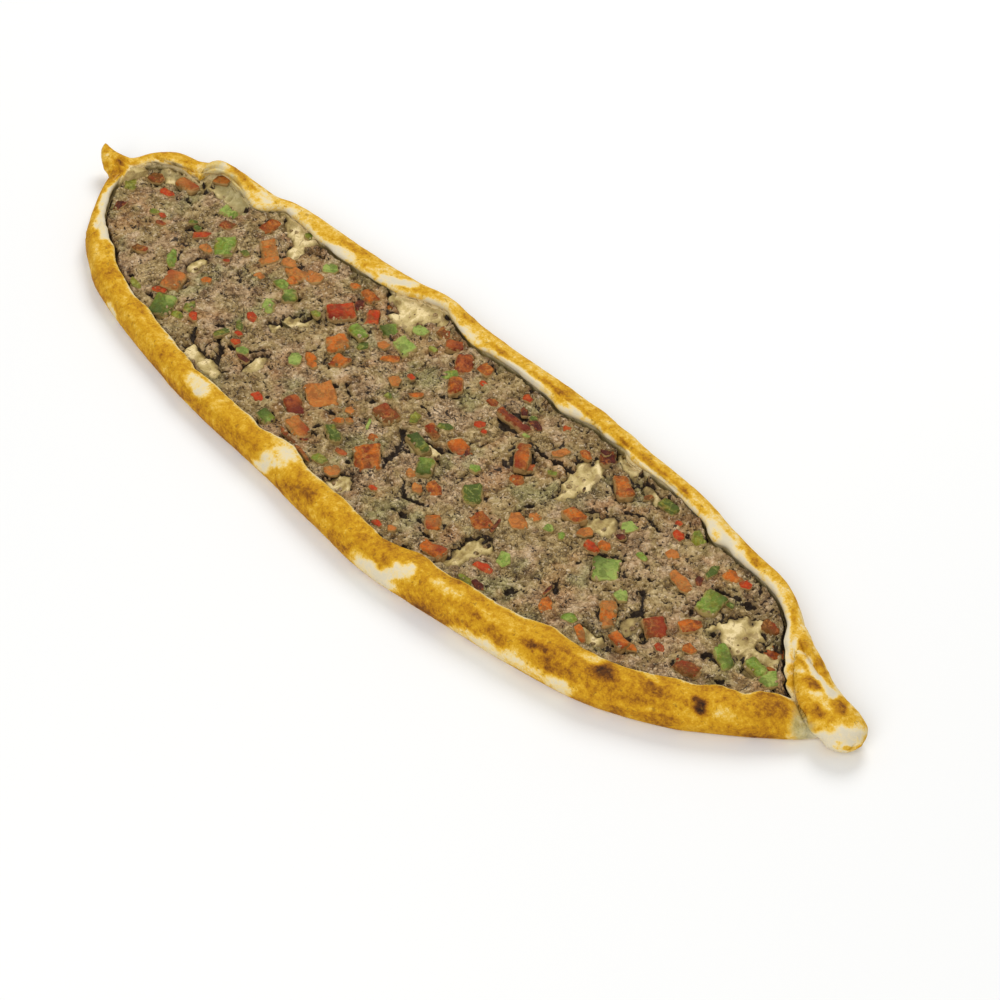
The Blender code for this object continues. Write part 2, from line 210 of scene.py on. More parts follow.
rim = evenly(through(RIM, RIM_CUTS, True), RIM_STATIONS)
rim_outer = rim[:, :2]
along = np.roll(rim_outer, -1, axis=0) - np.roll(rim_outer, 1, axis=0)
square = np.stack([along[:, 1], -along[:, 0]], axis=1)
square /= np.linalg.norm(square, axis=1, keepdims=True)
inward = spine_places(rim_outer) - rim_outer
inward /= np.linalg.norm(inward, axis=1, keepdims=True)
inward /= np.maximum((inward * square).sum(axis=1), LEAST_FACING)[:, None]
on_far_side = rim_outer[:, 1] > spine_places(rim_outer)[:, 1]
rim_width = rim[:, 2] + 0.5 * lumps(rim_outer, 9, 1) + 0.25 * lumps(rim_outer, 3.5, 2)
rim_height = rim[:, 3] + 0.5 * lumps(rim_outer, 24, 5)
for waves, side in ((FAR_LIP_WAVES, on_far_side), (NEAR_LIP_WAVES, ~on_far_side)):
    for middle, change, half_length in waves:
        rim_width += np.where(side, change * hump(rim_outer[:, 0] - middle, half_length), 0)
lip_line = rim_outer + inward * rim_width[:, None]

# The rows of the section, each an inset from the outermost line and a height.
all_round = np.ones(RIM_STATIONS)
section = [np.stack([FOOT_INSET * all_round, 0 * all_round], axis=1)]
for inset, rise in RIM_SECTION:
    section.append(np.stack([rim_width * inset, rim_height * rise], axis=1))
section.append(np.stack([rim_width * RIM_SECTION[-1][0], (FLOOR_HEIGHT + 0.25) * all_round], axis=1))
section.append(np.stack([rim_width, FLOOR_HEIGHT * all_round], axis=1))


def bareness(place):
    """(1 on bare dough and 0 away from it, the rise of the bare dough there)."""
    reach, rise = bare_reach(place[:, 0], place[:, 1])
    return 1 - ease(reach, BARE_INSIDE, BARE_OUTSIDE), rise


def bare_bulge(place, share):
    """How far the bare dough rises above the floor, more so against the wall, where share is 0."""
    is_bare, rise = bareness(place)
    folded = 0.6 * lumps(place, 9, 7) + 0.55 * puckers(place) + 0.25 * lumps(place, 2.6, 6)
    return (rise + folded + RUN_UP * (1 - ease(share, 0, RUN_UP_SHARE))) * is_bare


rings = []
for number, row in enumerate(through(section, SECTION_CUTS, False)):
    inset = row[:, :1]
    height = np.maximum(row[:, 1], 0)
    if number > len(RIM_SECTION) * SECTION_CUTS:
        is_bare = bareness(rim_outer + inward * inset)[0][:, None]
        inset = inset + (rim_width[:, None] - inset) * UNDERCUT_FILL * is_bare
        low_share = 1 - ease(height, FLOOR_HEIGHT, RIM_SECTION[-1][1] * rim_height)
        height = height + bare_bulge(rim_outer + inward * inset, 0.0) * low_share
    rings.append(np.column_stack([rim_outer + inward * inset, height]))
floor_edge = rings[-1][:, :2]
floor_middle = spine_places(floor_edge)
for share in np.linspace(0.03, 0.97, FLOOR_RINGS):
    place = floor_edge + (floor_middle - floor_edge) * share
    rings.append(np.column_stack([place, FLOOR_HEIGHT + bare_bulge(place, share)]))


def shown(name, data):
    """Object of that name, in the scene."""
    made = bpy.data.objects.new(name, data)
    bpy.context.scene.collection.objects.link(made)
    return made


def closed_tube(name, rings):
    """Mesh object through rings of equal length, with its first and last ring capped, faces outwards."""
    count = len(rings[0])
    faces = [tuple(range(count)), tuple(range((len(rings) - 1) * count, len(rings) * count))]
    for r in range(len(rings) - 1):
        for i in range(count):
            j = (i + 1) % count
            faces.append((r * count + i, r * count + j, (r + 1) * count + j, (r + 1) * count + i))
    mesh = bpy.data.meshes.new(name)
    mesh.from_pydata((np.concatenate(rings) * MM).tolist(), [], faces)
    shape = bmesh.new()
    shape.from_mesh(mesh)
    bmesh.ops.recalc_face_normals(shape, faces=shape.faces)
    shape.to_mesh(mesh)
    shape.free()
    return shown(name, mesh)


# The ear and the folded strip with its knob, as runs of upright rounds: x, y, z, half width, half height.
EAR_ROUNDS = [
    (-223, 13, 5.8, 8.8, 5.4), (-229, 12.6, 6.5, 8.8, 6), (-235, 12, 7.5, 7.7, 5.9),
    (-240, 11.6, 8.5, 6, 5.2), (-244, 11.8, 9.8, 4.3, 4.2), (-246.8, 12.6, 11.2, 2.9, 3),
    (-248.6, 13.6, 12.4, 1.6, 1.7), (-249.6, 14.3, 13.2, 0.5, 0.6),
]
STRIP_ROUNDS = [
    (194, 39.5, 9.2, 2.6, 3.8), (199, 36.4, 9.8, 3.6, 4.6), (206, 31, 10.2, 4.9, 5.3),
    (214, 25.4, 10.1, 6.3, 6.1), (223, 20.3, 9.3, 7.6, 6.7), (232, 17, 8.4, 9, 7.1),
    (240, 15.3, 7.7, 9.9, 7.3), (246, 14.4, 7.2, 8.8, 6.5), (249.2, 14, 7, 6.4, 5),
    (250.8, 13.8, 6.9, 3.3, 2.7), (251.1, 13.7, 6.9, 1, 0.9),
]
ROUND_SIDES = 72
ROUND_STEPS = 13


def swept_rounds(name, rounds):
    """Tube through the rounds, each square to the way that the run is heading."""
    rows = through(rounds, ROUND_STEPS, False)
    heading = np.gradient(rows[:, :2], axis=0)
    heading /= np.linalg.norm(heading, axis=1, keepdims=True)
    angle = 2 * math.pi * np.arange(ROUND_SIDES) / ROUND_SIDES
    tube_rings = []
    for row, (hx, hy) in zip(rows, heading):
        side = row[3] * np.cos(angle)
        height = np.maximum(row[2] + row[4] * np.sin(angle), 0.3)
        tube_rings.append(np.column_stack([row[0] - hy * side, row[1] + hx * side, height]))
    return closed_tube(name, tube_rings)


def applied(piece):
    """The piece's mesh, after its modifiers are applied."""
    mesh = bpy.data.meshes.new_from_object(piece.evaluated_get(bpy.context.evaluated_depsgraph_get()))
    piece.modifiers.clear()
    piece.data = mesh
    return mesh


dough = closed_tube("dough", rings)
for form in (swept_rounds("ear_form", EAR_ROUNDS), swept_rounds("strip_form", STRIP_ROUNDS)):
    union = dough.modifiers.new("join", "BOOLEAN")
    union.operation = "UNION"
    union.solver = "EXACT"
    union.object = form
    applied(dough)
    bpy.data.objects.remove(form)


def smooth_near(piece, ovals, passes):
    """Softens the piece's mesh inside the ovals, above its base."""
    shape = bmesh.new()
    shape.from_mesh(piece.data)
    place = np.array([v.co[:] for v in shape.verts]) / MM
    inside = np.zeros(len(place), bool)
    for oval in ovals:
        inside |= oval_reach(place[:, 0], place[:, 1], oval) < 1
    inside &= place[:, 2] > 1.2
    chosen = [v for v, is_in in zip(shape.verts, inside) if is_in]
    every_way = {"use_axis_x": True, "use_axis_y": True, "use_axis_z": True}
    for _ in range(passes):
        bmesh.ops.smooth_vert(shape, verts=chosen, factor=0.5, **every_way)
    shape.to_mesh(piece.data)
    shape.free()


smooth_near(dough, [(-235, 13, 9, 12, 0), (205, 34, 9, 7, -40)], 14)

# Creases pressed into the crust, on a level 9 mm up: half width, depth, line. SLANT carries a point down to
# that level along one slope, so that a line runs on over the rim's faces from its top to its foot.
SLANT_X = -0.748
SLANT_Y = 0.664
SLANT_LEVEL = 9.0
CREASES = [
    (0.9, 1, [(-227, 29), (-221, 31), (-213, 33), (-208, 36), (-206.5, 42)]),
    (0.7, 0.9, [(-242.3, 13.4), (-236, 11), (-231.5, 9), (-229, 4)]),
    (0.7, 1, [(-240, 16), (-233, 18), (-228, 20)]),
    (0.6, 0.8, [(-239, 7), (-235, 3), (-231, -3)]),
    (0.6, 0.7, [(-236, 14), (-231, 14.5), (-227, 13)]),
    (0.6, 0.6, [(-221, 35.5), (-214, 38.5), (-209, 42)]),
    (0.7, 0.8, [(-206, 49), (-203, 53), (-198, 54)]),
    (0.7, 1, [(-205, 42), (-202, 47), (-196, 49.5)]),
    (0.7, 0.7, [(-197, 43), (-190, 46.5), (-180, 47)]),
    (0.9, 0.9, [(-207, -20), (-204, -24), (-203.5, -31)]),
    (0.6, 0.5, [(-92, -59), (-60, -60.5), (-30, -62)]),
    (0.6, 0.5, [(-10, 60), (18, 60.5), (40, 62)]),
    (0.6, 0.6, [(60, 62), (84, 59), (110, 57.5)]),
    (0.6, 0.6, [(203, 27), (209, 26), (216, 25.5)]),
    (0.6, 0.6, [(216, 31.5), (211, 32), (205, 35)]),
    (0.7, 0.8, [(226, 22), (230, 24), (235, 24.5)]),
    (0.5, 0.6, [(229.3, 5.9), (231, 2.1), (233.5, -2.1)]),
    (0.5, 0.5, [(228, 4.3), (234.8, 2.2), (240, 1)]),
]
# Folds, where one layer lies over the next: reach, step up to the left of it, depth of its groove, line.
FOLDS = [
    (4.2, 1.9, 1.7, [(198, 31), (204.2, 25.8), (210, 20.4), (216.3, 14.9), (222.7, 11.1), (229.3, 7.7),
                     (235.1, 5.2), (241, 3)]),
    (2.6, 0.9, 0.9, [(-230, 22), (-225, 27), (-216, 33), (-207.5, 36.5), (-203.8, 41), (-203.5, 47)]),
    (2.2, 0.7, 0.7, [(-203.8, 38), (-197, 46), (-188, 47.5), (-178, 44.5)]),
    (2, 0.5, 0.6, [(-242, 16), (-234, 17), (-228, 21)]),
    (2.6, 1.2, 1.2, [(198, 34.5), (203, 32.6), (210, 31), (217.5, 28.4)]),
]


def read(mesh, what):
    """The places ("co") or the facings ("normal") of a mesh's points, a row for each."""
    values = np.empty(len(mesh.vertices) * 3)
    mesh.vertices.foreach_get(what, values)
    return values.reshape(-1, 3)


dough_mesh = dough.data
place = read(dough_mesh, "co") / MM
facing = read(dough_mesh, "normal")
level_x = place[:, 0] + SLANT_X * (place[:, 2] - SLANT_LEVEL)
level_y = place[:, 1] + SLANT_Y * (place[:, 2] - SLANT_LEVEL)
shown_side = ease((facing * (-SLANT_X, -SLANT_Y, 1.0)).sum(axis=1), -0.1, 0.5)
above_base = ease(place[:, 2], 0.3, 2.5)
swell = 0.34 * lumps(place, 15, 11) + 0.2 * lumps(place, 6.5, 12) + 0.11 * lumps(place, 2.8, 13)
for half_width, depth, line in CREASES:
    gap, _ = line_gap(level_x, level_y, line)
    pushed_up = 0.35 * depth * hump(gap - 2.4 * half_width, half_width)
    swell -= shown_side * (depth * hump(gap, half_width) - pushed_up)
for reach, step, groove, line in FOLDS:
    gap, side = line_gap(level_x, level_y, line)
    gap *= side
    ends = np.minimum(*(np.hypot(level_x - end_x, level_y - end_y) for end_x, end_y in (line[0], line[-1])))
    raised = shown_side * ease(ends, 0.0, 6.0) * hump(gap, reach) * step * np.clip(gap / 0.5, -0.7, 1)
    swell += raised - groove * shown_side * ease(ends, 0, 4) * hump(gap + 0.5, 0.65)
place += facing * (swell * above_base)[:, None]
place[:, 2] = np.maximum(place[:, 2], 0)
dough_mesh.vertices.foreach_set("co", (place * MM).ravel())
dough_x, _, dough_z = place.T

# How far each point is baked: 0 is floury white, 0.2 cream, 0.3 yellow, 0.45 golden, 0.65 brown, 1 burnt.
# Each row is an oval (x, y, half length, half width, turn) or a line, and the change there.
BAKED_OVALS = [
    # flour on the near rim, from the left
    (-152, -55.5, 8, 3.2, -28, -0.42), (-85, -54.8, 7.5, 4.2, -12, -0.36), (-78, -67, 4.5, 1.8, -5, -0.34),
    (-100, -59.5, 5, 2, 0, -0.1), (-27, -50, 13, 4.2, -11, -0.2), (-26, -58, 6, 8, -20, -0.2),
    (-27, -68, 5, 4.2, 0, -0.32), (56, -70.5, 16, 5.2, -2, -0.46), (60.5, -61, 4.4, 7.2, -25, -0.38),
    (82, -52.5, 8, 3.4, 8, -0.24), (150, -33.6, 6, 2.6, 20, -0.28), (173, -23, 4, 2, 10, -0.26),
    (-5, -71, 9, 2, 0, -0.2), (190, -31, 10, 2, 35, -0.1), (12, -56, 9, 3, 0, -0.1),
    (205, -29, 10, 2.2, 40, -0.12), (180, -38, 9, 1.8, 30, -0.08), (100, -50, 6, 1.6, 0, -0.12),
    # paler dough beside the ear and on it
    (-200, -22, 9, 2.2, -40, -0.06), (-246, 12.5, 2.4, 1.6, 30, -0.12), (-233, 21, 6, 1.8, 30, -0.05),
    # flour and cream on the far rim, from the left
    (-204, 50, 4.5, 5.5, 60, -0.2), (-216, 29, 10, 3, 15, -0.2), (-170, 50, 6, 2.4, 0, -0.2),
    (-152.5, 51.5, 3, 3.6, 0, -0.24), (-184, 52, 8, 2, 0, -0.12), (-112, 51.5, 8, 2.4, 8, -0.34),
    (-57.5, 59, 6, 2, 8, -0.26), (-31, 58, 7.5, 1.7, 0, -0.24), (5, 58.5, 12, 2, 2, -0.26),
    (40, 60, 8, 1.6, 0, -0.14), (132, 55, 9, 2.6, -20, -0.2), (147, 50.5, 9, 3.4, -22, -0.22),
    (170, 43, 26, 4.2, -27, -0.17), (193, 30, 15, 4, -55, -0.16), (80, 60, 10, 1.4, -5, -0.1),
    (-84, 57, 8, 2, 10, -0.1),
    # the knob and the outer edge of the folded strip
    (245, 10, 7, 9, -10, -0.3), (240, 4, 6, 3, 20, -0.28), (226, 25, 3, 2.5, 0, -0.1),
    # browned and burnt spots of the near rim
    (-145, -43, 7, 3, -28, 0.07), (-137, -55, 7, 3, -22, 0.07), (-104, -60.5, 6, 3.4, 0, 0.1),
    (-97, -64, 5, 2.4, 0, 0.1), (-57, -61, 7, 3.4, -5, 0.1), (-47, -61.5, 5, 3, 0, 0.12),
    (-36.5, -59, 3, 2.4, 0, 0.1), (-71, -62.5, 5, 3, 0, 0.1), (-6, -61.5, 8, 4, -5, 0.1),
    (-9, -67, 5, 3, 0, 0.1), (32, -68, 9, 3.2, 0, 0.13), (39, -70.5, 5, 2.4, 0, 0.1),
    (71, -68.5, 5, 3.2, 0, 0.12), (84, -68, 6, 3, 0, 0.12), (106.5, -62.5, 7, 4, 0, 0.12),
    (97.5, -52.5, 5, 2.6, 0, 0.12), (114.5, -55, 6, 3.6, 0, 0.12), (132, -58, 7, 3, 10, 0.1),
    (144, -49, 8, 3.6, 15, 0.1), (126, -47.5, 4, 2.4, 0, 0.24), (131.5, -45, 3.4, 2, 0, 0.2),
    (157, -34.5, 5.5, 4, 0, 0.22), (157, -34.5, 2.6, 2, 0, 0.1), (196, -20, 5, 4.2, 0, 0.26),
    (196, -20, 2.6, 2.2, 0, 0.36), (178, -34, 3, 2.2, 0, 0.09), (214, 3, 9, 6, 35, 0.09),
    (138, -39, 3.4, 1.8, 0, 0.09), (168, -40, 10, 4, 20, 0.07), (205, -16, 8, 3, 35, -0.08),
    (183, -25, 9, 2.4, 30, 0.06),
    # browned spots of the far rim, the folded strip and the ear
    (-241, 15, 8, 6, 30, 0.07), (67, 60, 4.4, 2.2, -10, 0.17), (104, 60.5, 6, 1.6, -10, 0.15),
    (84, 61.5, 8, 1.6, -8, 0.16), (-112, 57.5, 12, 2, 10, 0.1), (150, 55.5, 14, 1.6, -25, 0.2),
    (186, 44, 10, 1.6, -50, 0.22), (203, 31, 7, 1.8, -48, 0.2), (-235, 8, 5, 3, 40, 0.1),
    (218, 22.5, 3.6, 2.8, 20, 0.34), (212, 23, 10, 4, -45, 0.04), (226.5, 13.5, 6, 3, -40, 0.26),
    (232, 21.5, 5, 3, -20, 0.3), (232.5, 14.5, 4, 3, 0, 0.16), (240.5, 19, 4, 3, -30, 0.12),
    (238, 12, 5, 2.4, -30, 0.06), (222, 18.5, 4, 2.4, -40, -0.12), (229, 17.5, 2.4, 2, 0, -0.1),
    (207, 25, 2.4, 6, -40, 0.14), (212, 31.2, 6, 1.4, -22, 0.3), (200, 36, 5, 2.4, -40, 0.14),
    (238, 9, 2.6, 2, 0, 0.12), (-190, 52, 5, 1.8, 0, 0.1), (247, 5.6, 2, 1.2, 0, 0.24),
    (251, 8.6, 2, 1.2, 40, 0.3), (245.6, 7.6, 1.6, 1.2, 0, 0.3), (254, 13, 1.4, 1.6, 0, 0.2),
    (200, 17, 1.3, 1.3, 0, 0.4), (-180, 50, 8, 1.6, -8, 0.1), (-236, 14, 3, 2, 0, 0.12),
    (20, 63, 10, 1.6, 0, 0.1), (-40, 63, 14, 1.8, 0, 0.08),
]
BAKED_LINES = [
    (1.3, 0.11, [(60, 61.5), (72, 61), (97, 60), (112, 58.5), (128, 57.5), (142, 55), (155, 51.5),
                 (170, 46.5)]),
    (1.2, 0.12, [(-200, 53), (-190, 51.5), (-178, 50), (-165, 51)]),
    (1.2, 0.14, [(-20, 61), (0, 61.5), (22, 62.5), (45, 61.5)]),
    (2.2, -0.34, [(-86, 53.5), (-80, 57), (-73, 61.5)]),
    (4.4, -0.4, [(102, -67.5), (116, -63.4), (130, -60.6), (143, -57.6), (154, -54.4)]),
    (1.5, -0.36, [(203, 31), (208, 29.6), (214, 27.2), (220.4, 25), (226.5, 24)]),
    (1.2, -0.1, [(196, 34), (203, 28), (210, 23.5)]),
    (2.5, -0.27, [(-223, -1), (-218.5, -7.5), (-211.5, -15), (-203.5, -21.5), (-196, -24)]),
    (1.5, -0.1, [(-225, 3), (-220, -6.5), (-213, -15), (-205, -22.5), (-196, -25.5)]),
]
GREASY = [
    (233, 3, 8, 4.2, -40, 0.95), (226, 6.5, 6, 2.6, -50, 0.8), (-185, 40, 19, 5.5, -14, 0.7),
    (-212, 10, 5, 13, 25, 0.3), (-214, 26, 9, 2.2, 20, 0.4),
]

place_noise = np.stack([level_x, level_y], axis=1)
rough_edge = 0.28 * lumps(place_noise, 5, 21) + 0.26 * lumps(place_noise, 2.4, 22)


def stained(ovals):
    """Sum of what the ovals add at each point of the dough."""
    found = np.zeros(len(place))
    for *oval, strength in ovals:
        reach = oval_reach(level_x, level_y, oval) + rough_edge
        found += strength * (1 - ease(reach, 0.5, 1.5))
    return found


def store(mesh, name, values):
    """Keeps a value for each point of the mesh, which its material or its crumbs read."""
    attribute = mesh.attributes.new(name, "FLOAT", "POINT")
    attribute.data.foreach_set("value", np.ascontiguousarray(values, np.float32))


# The lip and the dough under the filling stay pale: they were covered, or bake last.
lip_tree = kdtree.KDTree(RIM_STATIONS)
for index, (x, y) in enumerate(lip_line):
    lip_tree.insert((x, y, 0), index)
lip_tree.balance()


def beside_lip(places):
    """(nearest station of the rim, how far inside its lip, whether on the far side) for each place."""
    found = [lip_tree.find((x, y, 0))[1] for x, y in places[:, :2]]
    inside = (square[found] * (places[:, :2] - lip_line[found])).sum(axis=1)
    return np.array(found), inside, on_far_side[found]


station, inside_lip, far_lip = beside_lip(place)
lip_noise = lumps(place, 9, 31) + 0.5 * lumps(place, 3, 32)
lip_band = 1.0 - ease(-inside_lip, 0.3, np.where(far_lip, 2.2, 1.9) + 0.9 * lip_noise)
in_undercut = ease(inside_lip, -3.2, -1.8) * (1 - ease(dough_z, 9.8, 11.2))
under_lip = np.maximum(ease(inside_lip, 0.0, 1.0), in_undercut)
under_lip *= 1 - ease(dough_z, 7.5, 9) * ease(dough_x, 190, 197)

baked = np.where(far_lip, 0.41, 0.45) + 0.045 * ease(dough_x, 0, 110) * ~far_lip
baked += 0.075 * lumps(place, 13, 33) + 0.07 * lumps(place, 6.5, 34) + 0.045 * lumps(place, 3, 35)
streaks = lumps(np.stack([station * 0.22, inside_lip, dough_z], axis=1), 2.4, 41)
baked += np.where(far_lip, 0.075, 0.035) * streaks
far_paleness = 0.1 + 0.04 * ease(dough_x, -175, -150) + 0.06 * ease(dough_x, -140, -118)
near_paleness = 0.24 + 0.06 * ease(dough_x, 40, 90)
baked -= np.where(far_lip, far_paleness, near_paleness) * lip_band * ease(lip_noise, -1.3, -0.1)
baked -= 0.1 * (1 - ease(dough_z, 0.6, 4.0)) * ease(lumps(place, 17, 36), -0.5, 0.4)
baked_spots = 0.1 * ease(dough_x, 90, 150) * lumps(place, 10, 44)
# The near side is a little browner, browner again towards its foot, which is partly painted shade, and
# spotted towards its right end.
baked += ~far_lip * (0.03 + 0.09 * (1 - ease(dough_z, 4, 9)) + baked_spots)
baked -= far_lip * 0.045 * ease(dough_x, 30, 100)
baked -= 0.3 * (1 - shown_side) * ease(lumps(place, 20, 25) + 0.4 * lumps(place, 6, 26), 0.25, 0.7)
change = stained(BAKED_OVALS)
for half_width, strength, line in BAKED_LINES:
    gap = line_gap(level_x, level_y, line)[0] / half_width + rough_edge
    change += strength * (1 - ease(gap, 0.45, 1.5))
baked += np.clip(change, -0.5, 0.5) * shown_side
underside = 1 - ease(dough_z, 0.1, 0.9)
baked_below = 0.34 + 0.13 * lumps(place, 16, 37) + 0.08 * lumps(place, 6, 38)
baked = baked * (1 - underside) + underside * baked_below
store(dough_mesh, "baked", np.clip(baked * (1 - 0.5 * under_lip), 0, 1))
store(dough_mesh, "greasy", np.clip(stained(GREASY) * shown_side * (1 - underside), 0, 1))
store(dough_mesh, "inner", under_lip)

# How wet the dough inside the boat is, with painted light and shade mixed in: 0 is dry and creamy, and 1 is
# dark with juice or painted shade.
bare_here, _ = bare_reach(dough_x, place[:, 1])
# Darker towards the edge of the bare dough: partly juice, partly painted shade beneath the mince's edge.
soaked_and_shaded = 0.30 + 0.35 * lumps(place, 9, 39) + 0.35 * lumps(place, 2.4, 40) + 0.65 * ease(bare_here, 0.6, 1.0)
# Darker in the valleys between the puckers.
soaked_and_shaded += 0.45 * (1 - ease(puckers(place), -0.4, 0.8)) * (bare_here < 1)
# Paler on the raised ridges of the bare dough.
on_ridge = ease(dough_z - FLOOR_HEIGHT, 1.4, 2.6) * (bare_here < 1)
soaked_and_shaded -= 0.4 * on_ridge * ease(lumps(place, 6, 42), -0.5, 0.3)
# Painted light: the wall under the lip is made the driest and palest cream, partly its own colour and partly
# to lift the shade beneath the lip.
on_wall = ease(dough_z, 6.6, 8.2) * ease(-inside_lip, -0.6, 0.4)
soaked_and_shaded = soaked_and_shaded * (1 - on_wall) + on_wall * (-0.2 + 0.5 * lumps(place, 7, 43))
store(dough_mesh, "soaked_and_shaded", np.clip(soaked_and_shaded, 0, 1.3))


def node(holder, kind, settings=None, **values):
    """A new node of a material or a tree. A value that is a socket is linked, and any other is set."""
    tree = holder.node_tree if isinstance(holder, bpy.types.Material) else holder
    made = tree.nodes.new(kind)
    for name, value in (settings or {}).items():
        setattr(made, name, value)
    for name, value in values.items():
        socket = next(s for s in made.inputs if s.name == name.replace("_", " ") and s.enabled)
        if isinstance(value, bpy.types.NodeSocket):
            tree.links.new(value, socket)
        else:
            socket.default_value = value
    return made


def finish(name, roughness, specular):
    """(material, its shader) of a surface with no metal in it."""
    material = bpy.data.materials.new(name)
    material.use_nodes = True
    shader = material.node_tree.nodes["Principled BSDF"]
    shader.inputs["Roughness"].default_value = roughness
    shader.inputs["Specular IOR Level"].default_value = specular
    return material, shader


def speckle(material, lumps_per_metre, detail=2.0, roughness=0.5, distortion=0.0):
    """Noise over the piece, from 0 to 1."""
    where = node(material, "ShaderNodeTexCoord").outputs["Object"]
    return node(material, "ShaderNodeTexNoise", Vector=where, Scale=lumps_per_metre, Detail=detail,
                Roughness=roughness, Distortion=distortion).outputs["Fac"]


def stain(material, name):
    """A value that was stored for each point of the piece."""
    return node(material, "ShaderNodeAttribute", {"attribute_name": name}).outputs["Fac"]


def maths(material, operation, a, b):
    made = material.node_tree.nodes.new("ShaderNodeMath")
    made.operation = operation
    for socket, value in zip(made.inputs, (a, b)):
        if isinstance(value, bpy.types.NodeSocket):
            material.node_tree.links.new(value, socket)
        else:
            socket.default_value = value
    return made.outputs[0]


def weighted(material, *parts, plus=0.0):
    """Sum of the (value, weight) parts and of plus."""
    for value, weight in parts:
        plus = maths(material, "ADD", maths(material, "MULTIPLY", value, weight), plus)
    return plus


def between(material, value, low, high):
    """0 below low, 1 above high."""
    return node(material, "ShaderNodeMapRange", {"interpolation_type": "SMOOTHSTEP"}, Value=value,
                From_Min=low, From_Max=high).outputs["Result"]


def tinted(material, colour, share, strength, tint):
    """The colour with that strength of the tint, a socket or (red, green, blue), where share is 1."""
    tint = tint if isinstance(tint, bpy.types.NodeSocket) else (*tint, 1)
    share = maths(material, "MULTIPLY", share, strength)
    return node(material, "ShaderNodeMixRGB", Fac=share, Color1=colour, Color2=tint).outputs["Color"]


def ramp(material, value, stops):
    """Colour along a scale of (value, (red, green, blue)) stops."""
    made = node(material, "ShaderNodeValToRGB", Fac=value)
    points = made.color_ramp.elements
    while len(points) < len(stops):
        points.new(0.5)
    for point, (at, colour) in zip(points, stops):
        point.position = at
        point.color = (*colour, 1)
    return made.outputs["Color"]


def coat(material, shader, colour, height, distance, strength):
    """Gives the shader its colour, and fine relief from a height of 0 to 1 that is distance metres high."""
    relief = node(material, "ShaderNodeBump", Height=height, Distance=distance, Strength=strength)
    material.node_tree.links.new(relief.outputs["Normal"], shader.inputs["Normal"])
    material.node_tree.links.new(colour, shader.inputs["Base Color"])


crust, shader = finish("baked_crust", 0.8, 0.14)
blotch = speckle(crust, 150, 4, 0.65, 0.3)
mottle = speckle(crust, 400, 4, 0.7)
grain = speckle(crust, 1100, 3, 0.7)
uneven = weighted(crust, (blotch, 0.44), (mottle, 0.56), (grain, 0.34), plus=-0.665)
bake = maths(crust, "ADD", stain(crust, "baked"), uneven)
colour = ramp(crust, bake, [
    (0.0, (0.655, 0.58, 0.42)), (0.11, (0.72, 0.61, 0.395)), (0.22, (0.77, 0.60, 0.27)),
    (0.33, (0.74, 0.46, 0.065)), (0.45, (0.61, 0.325, 0.012)), (0.58, (0.47, 0.215, 0.007)),
    (0.70, (0.28, 0.105, 0.006)), (0.82, (0.12, 0.04, 0.006)), (1.0, (0.03, 0.012, 0.006)),
])
# Colours of the dough inside the boat, from dry cream to dark with juice or painted shade; the palest, on the
# wall under the lip, is partly painted light.
inner = ramp(crust, weighted(crust, (stain(crust, "soaked_and_shaded"), 0.56), (uneven, 1.1)), [
    (0.0, (0.80, 0.64, 0.33)), (0.13, (0.60, 0.46, 0.20)), (0.26, (0.52, 0.40, 0.165)),
    (0.42, (0.41, 0.30, 0.105)), (0.56, (0.30, 0.21, 0.07)), (0.72, (0.20, 0.135, 0.048)),
    (0.88, (0.10, 0.06, 0.02)),
])
scraps = between(crust, speckle(crust, 270, 4, 0.7, 0.8), 0.56, 0.60)
inner = tinted(crust, inner, scraps, 0.6, (0.24, 0.15, 0.06))
specks = between(crust, speckle(crust, 560, 2, 0.5, 0.6), 0.62, 0.70)
specks = maths(crust, "MULTIPLY", specks, between(crust, bake, 0.22, 0.36))
colour = tinted(crust, colour, specks, 0.55, (0.22, 0.10, 0.012))
colour = tinted(crust, colour, stain(crust, "inner"), 0.95, inner)
damp = ramp(crust, mottle, [(0.3, (0.20, 0.17, 0.06)), (0.5, (0.44, 0.40, 0.19)), (0.7, (0.62, 0.57, 0.36))])
colour = tinted(crust, colour, stain(crust, "greasy"), 0.75, damp)
coat(crust, shader, colour, weighted(crust, (mottle, 0.6), (grain, 0.4)), 0.0006, 0.8)

dough_mesh.materials.clear()
dough_mesh.materials.append(crust)
dough_mesh.shade_smooth()
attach(dough, "root")
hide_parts("dough_boat")

# ---------------------------------------------------------------------------------------------------------
# Mince filling
# Minced meat spread about 4 mm thick over the dough and cooked until its grains fused into one porous,
# slightly greasy crumb. It has shrunk back from the rim in places, cracked, and left some dough bare.
MINCE_GRID = 0.72
MINCE_TOP = 8.8
MINCE_CEILING = 9.4
MINCE_LOW = 5.15
MINCE_UNDER = 4.9
TUCKED_UNDER_LIP = 0.9
GRAIN_SIZE = 2.3
CLOD_SIZE = 9.5
PORE_SPACING = 2.7

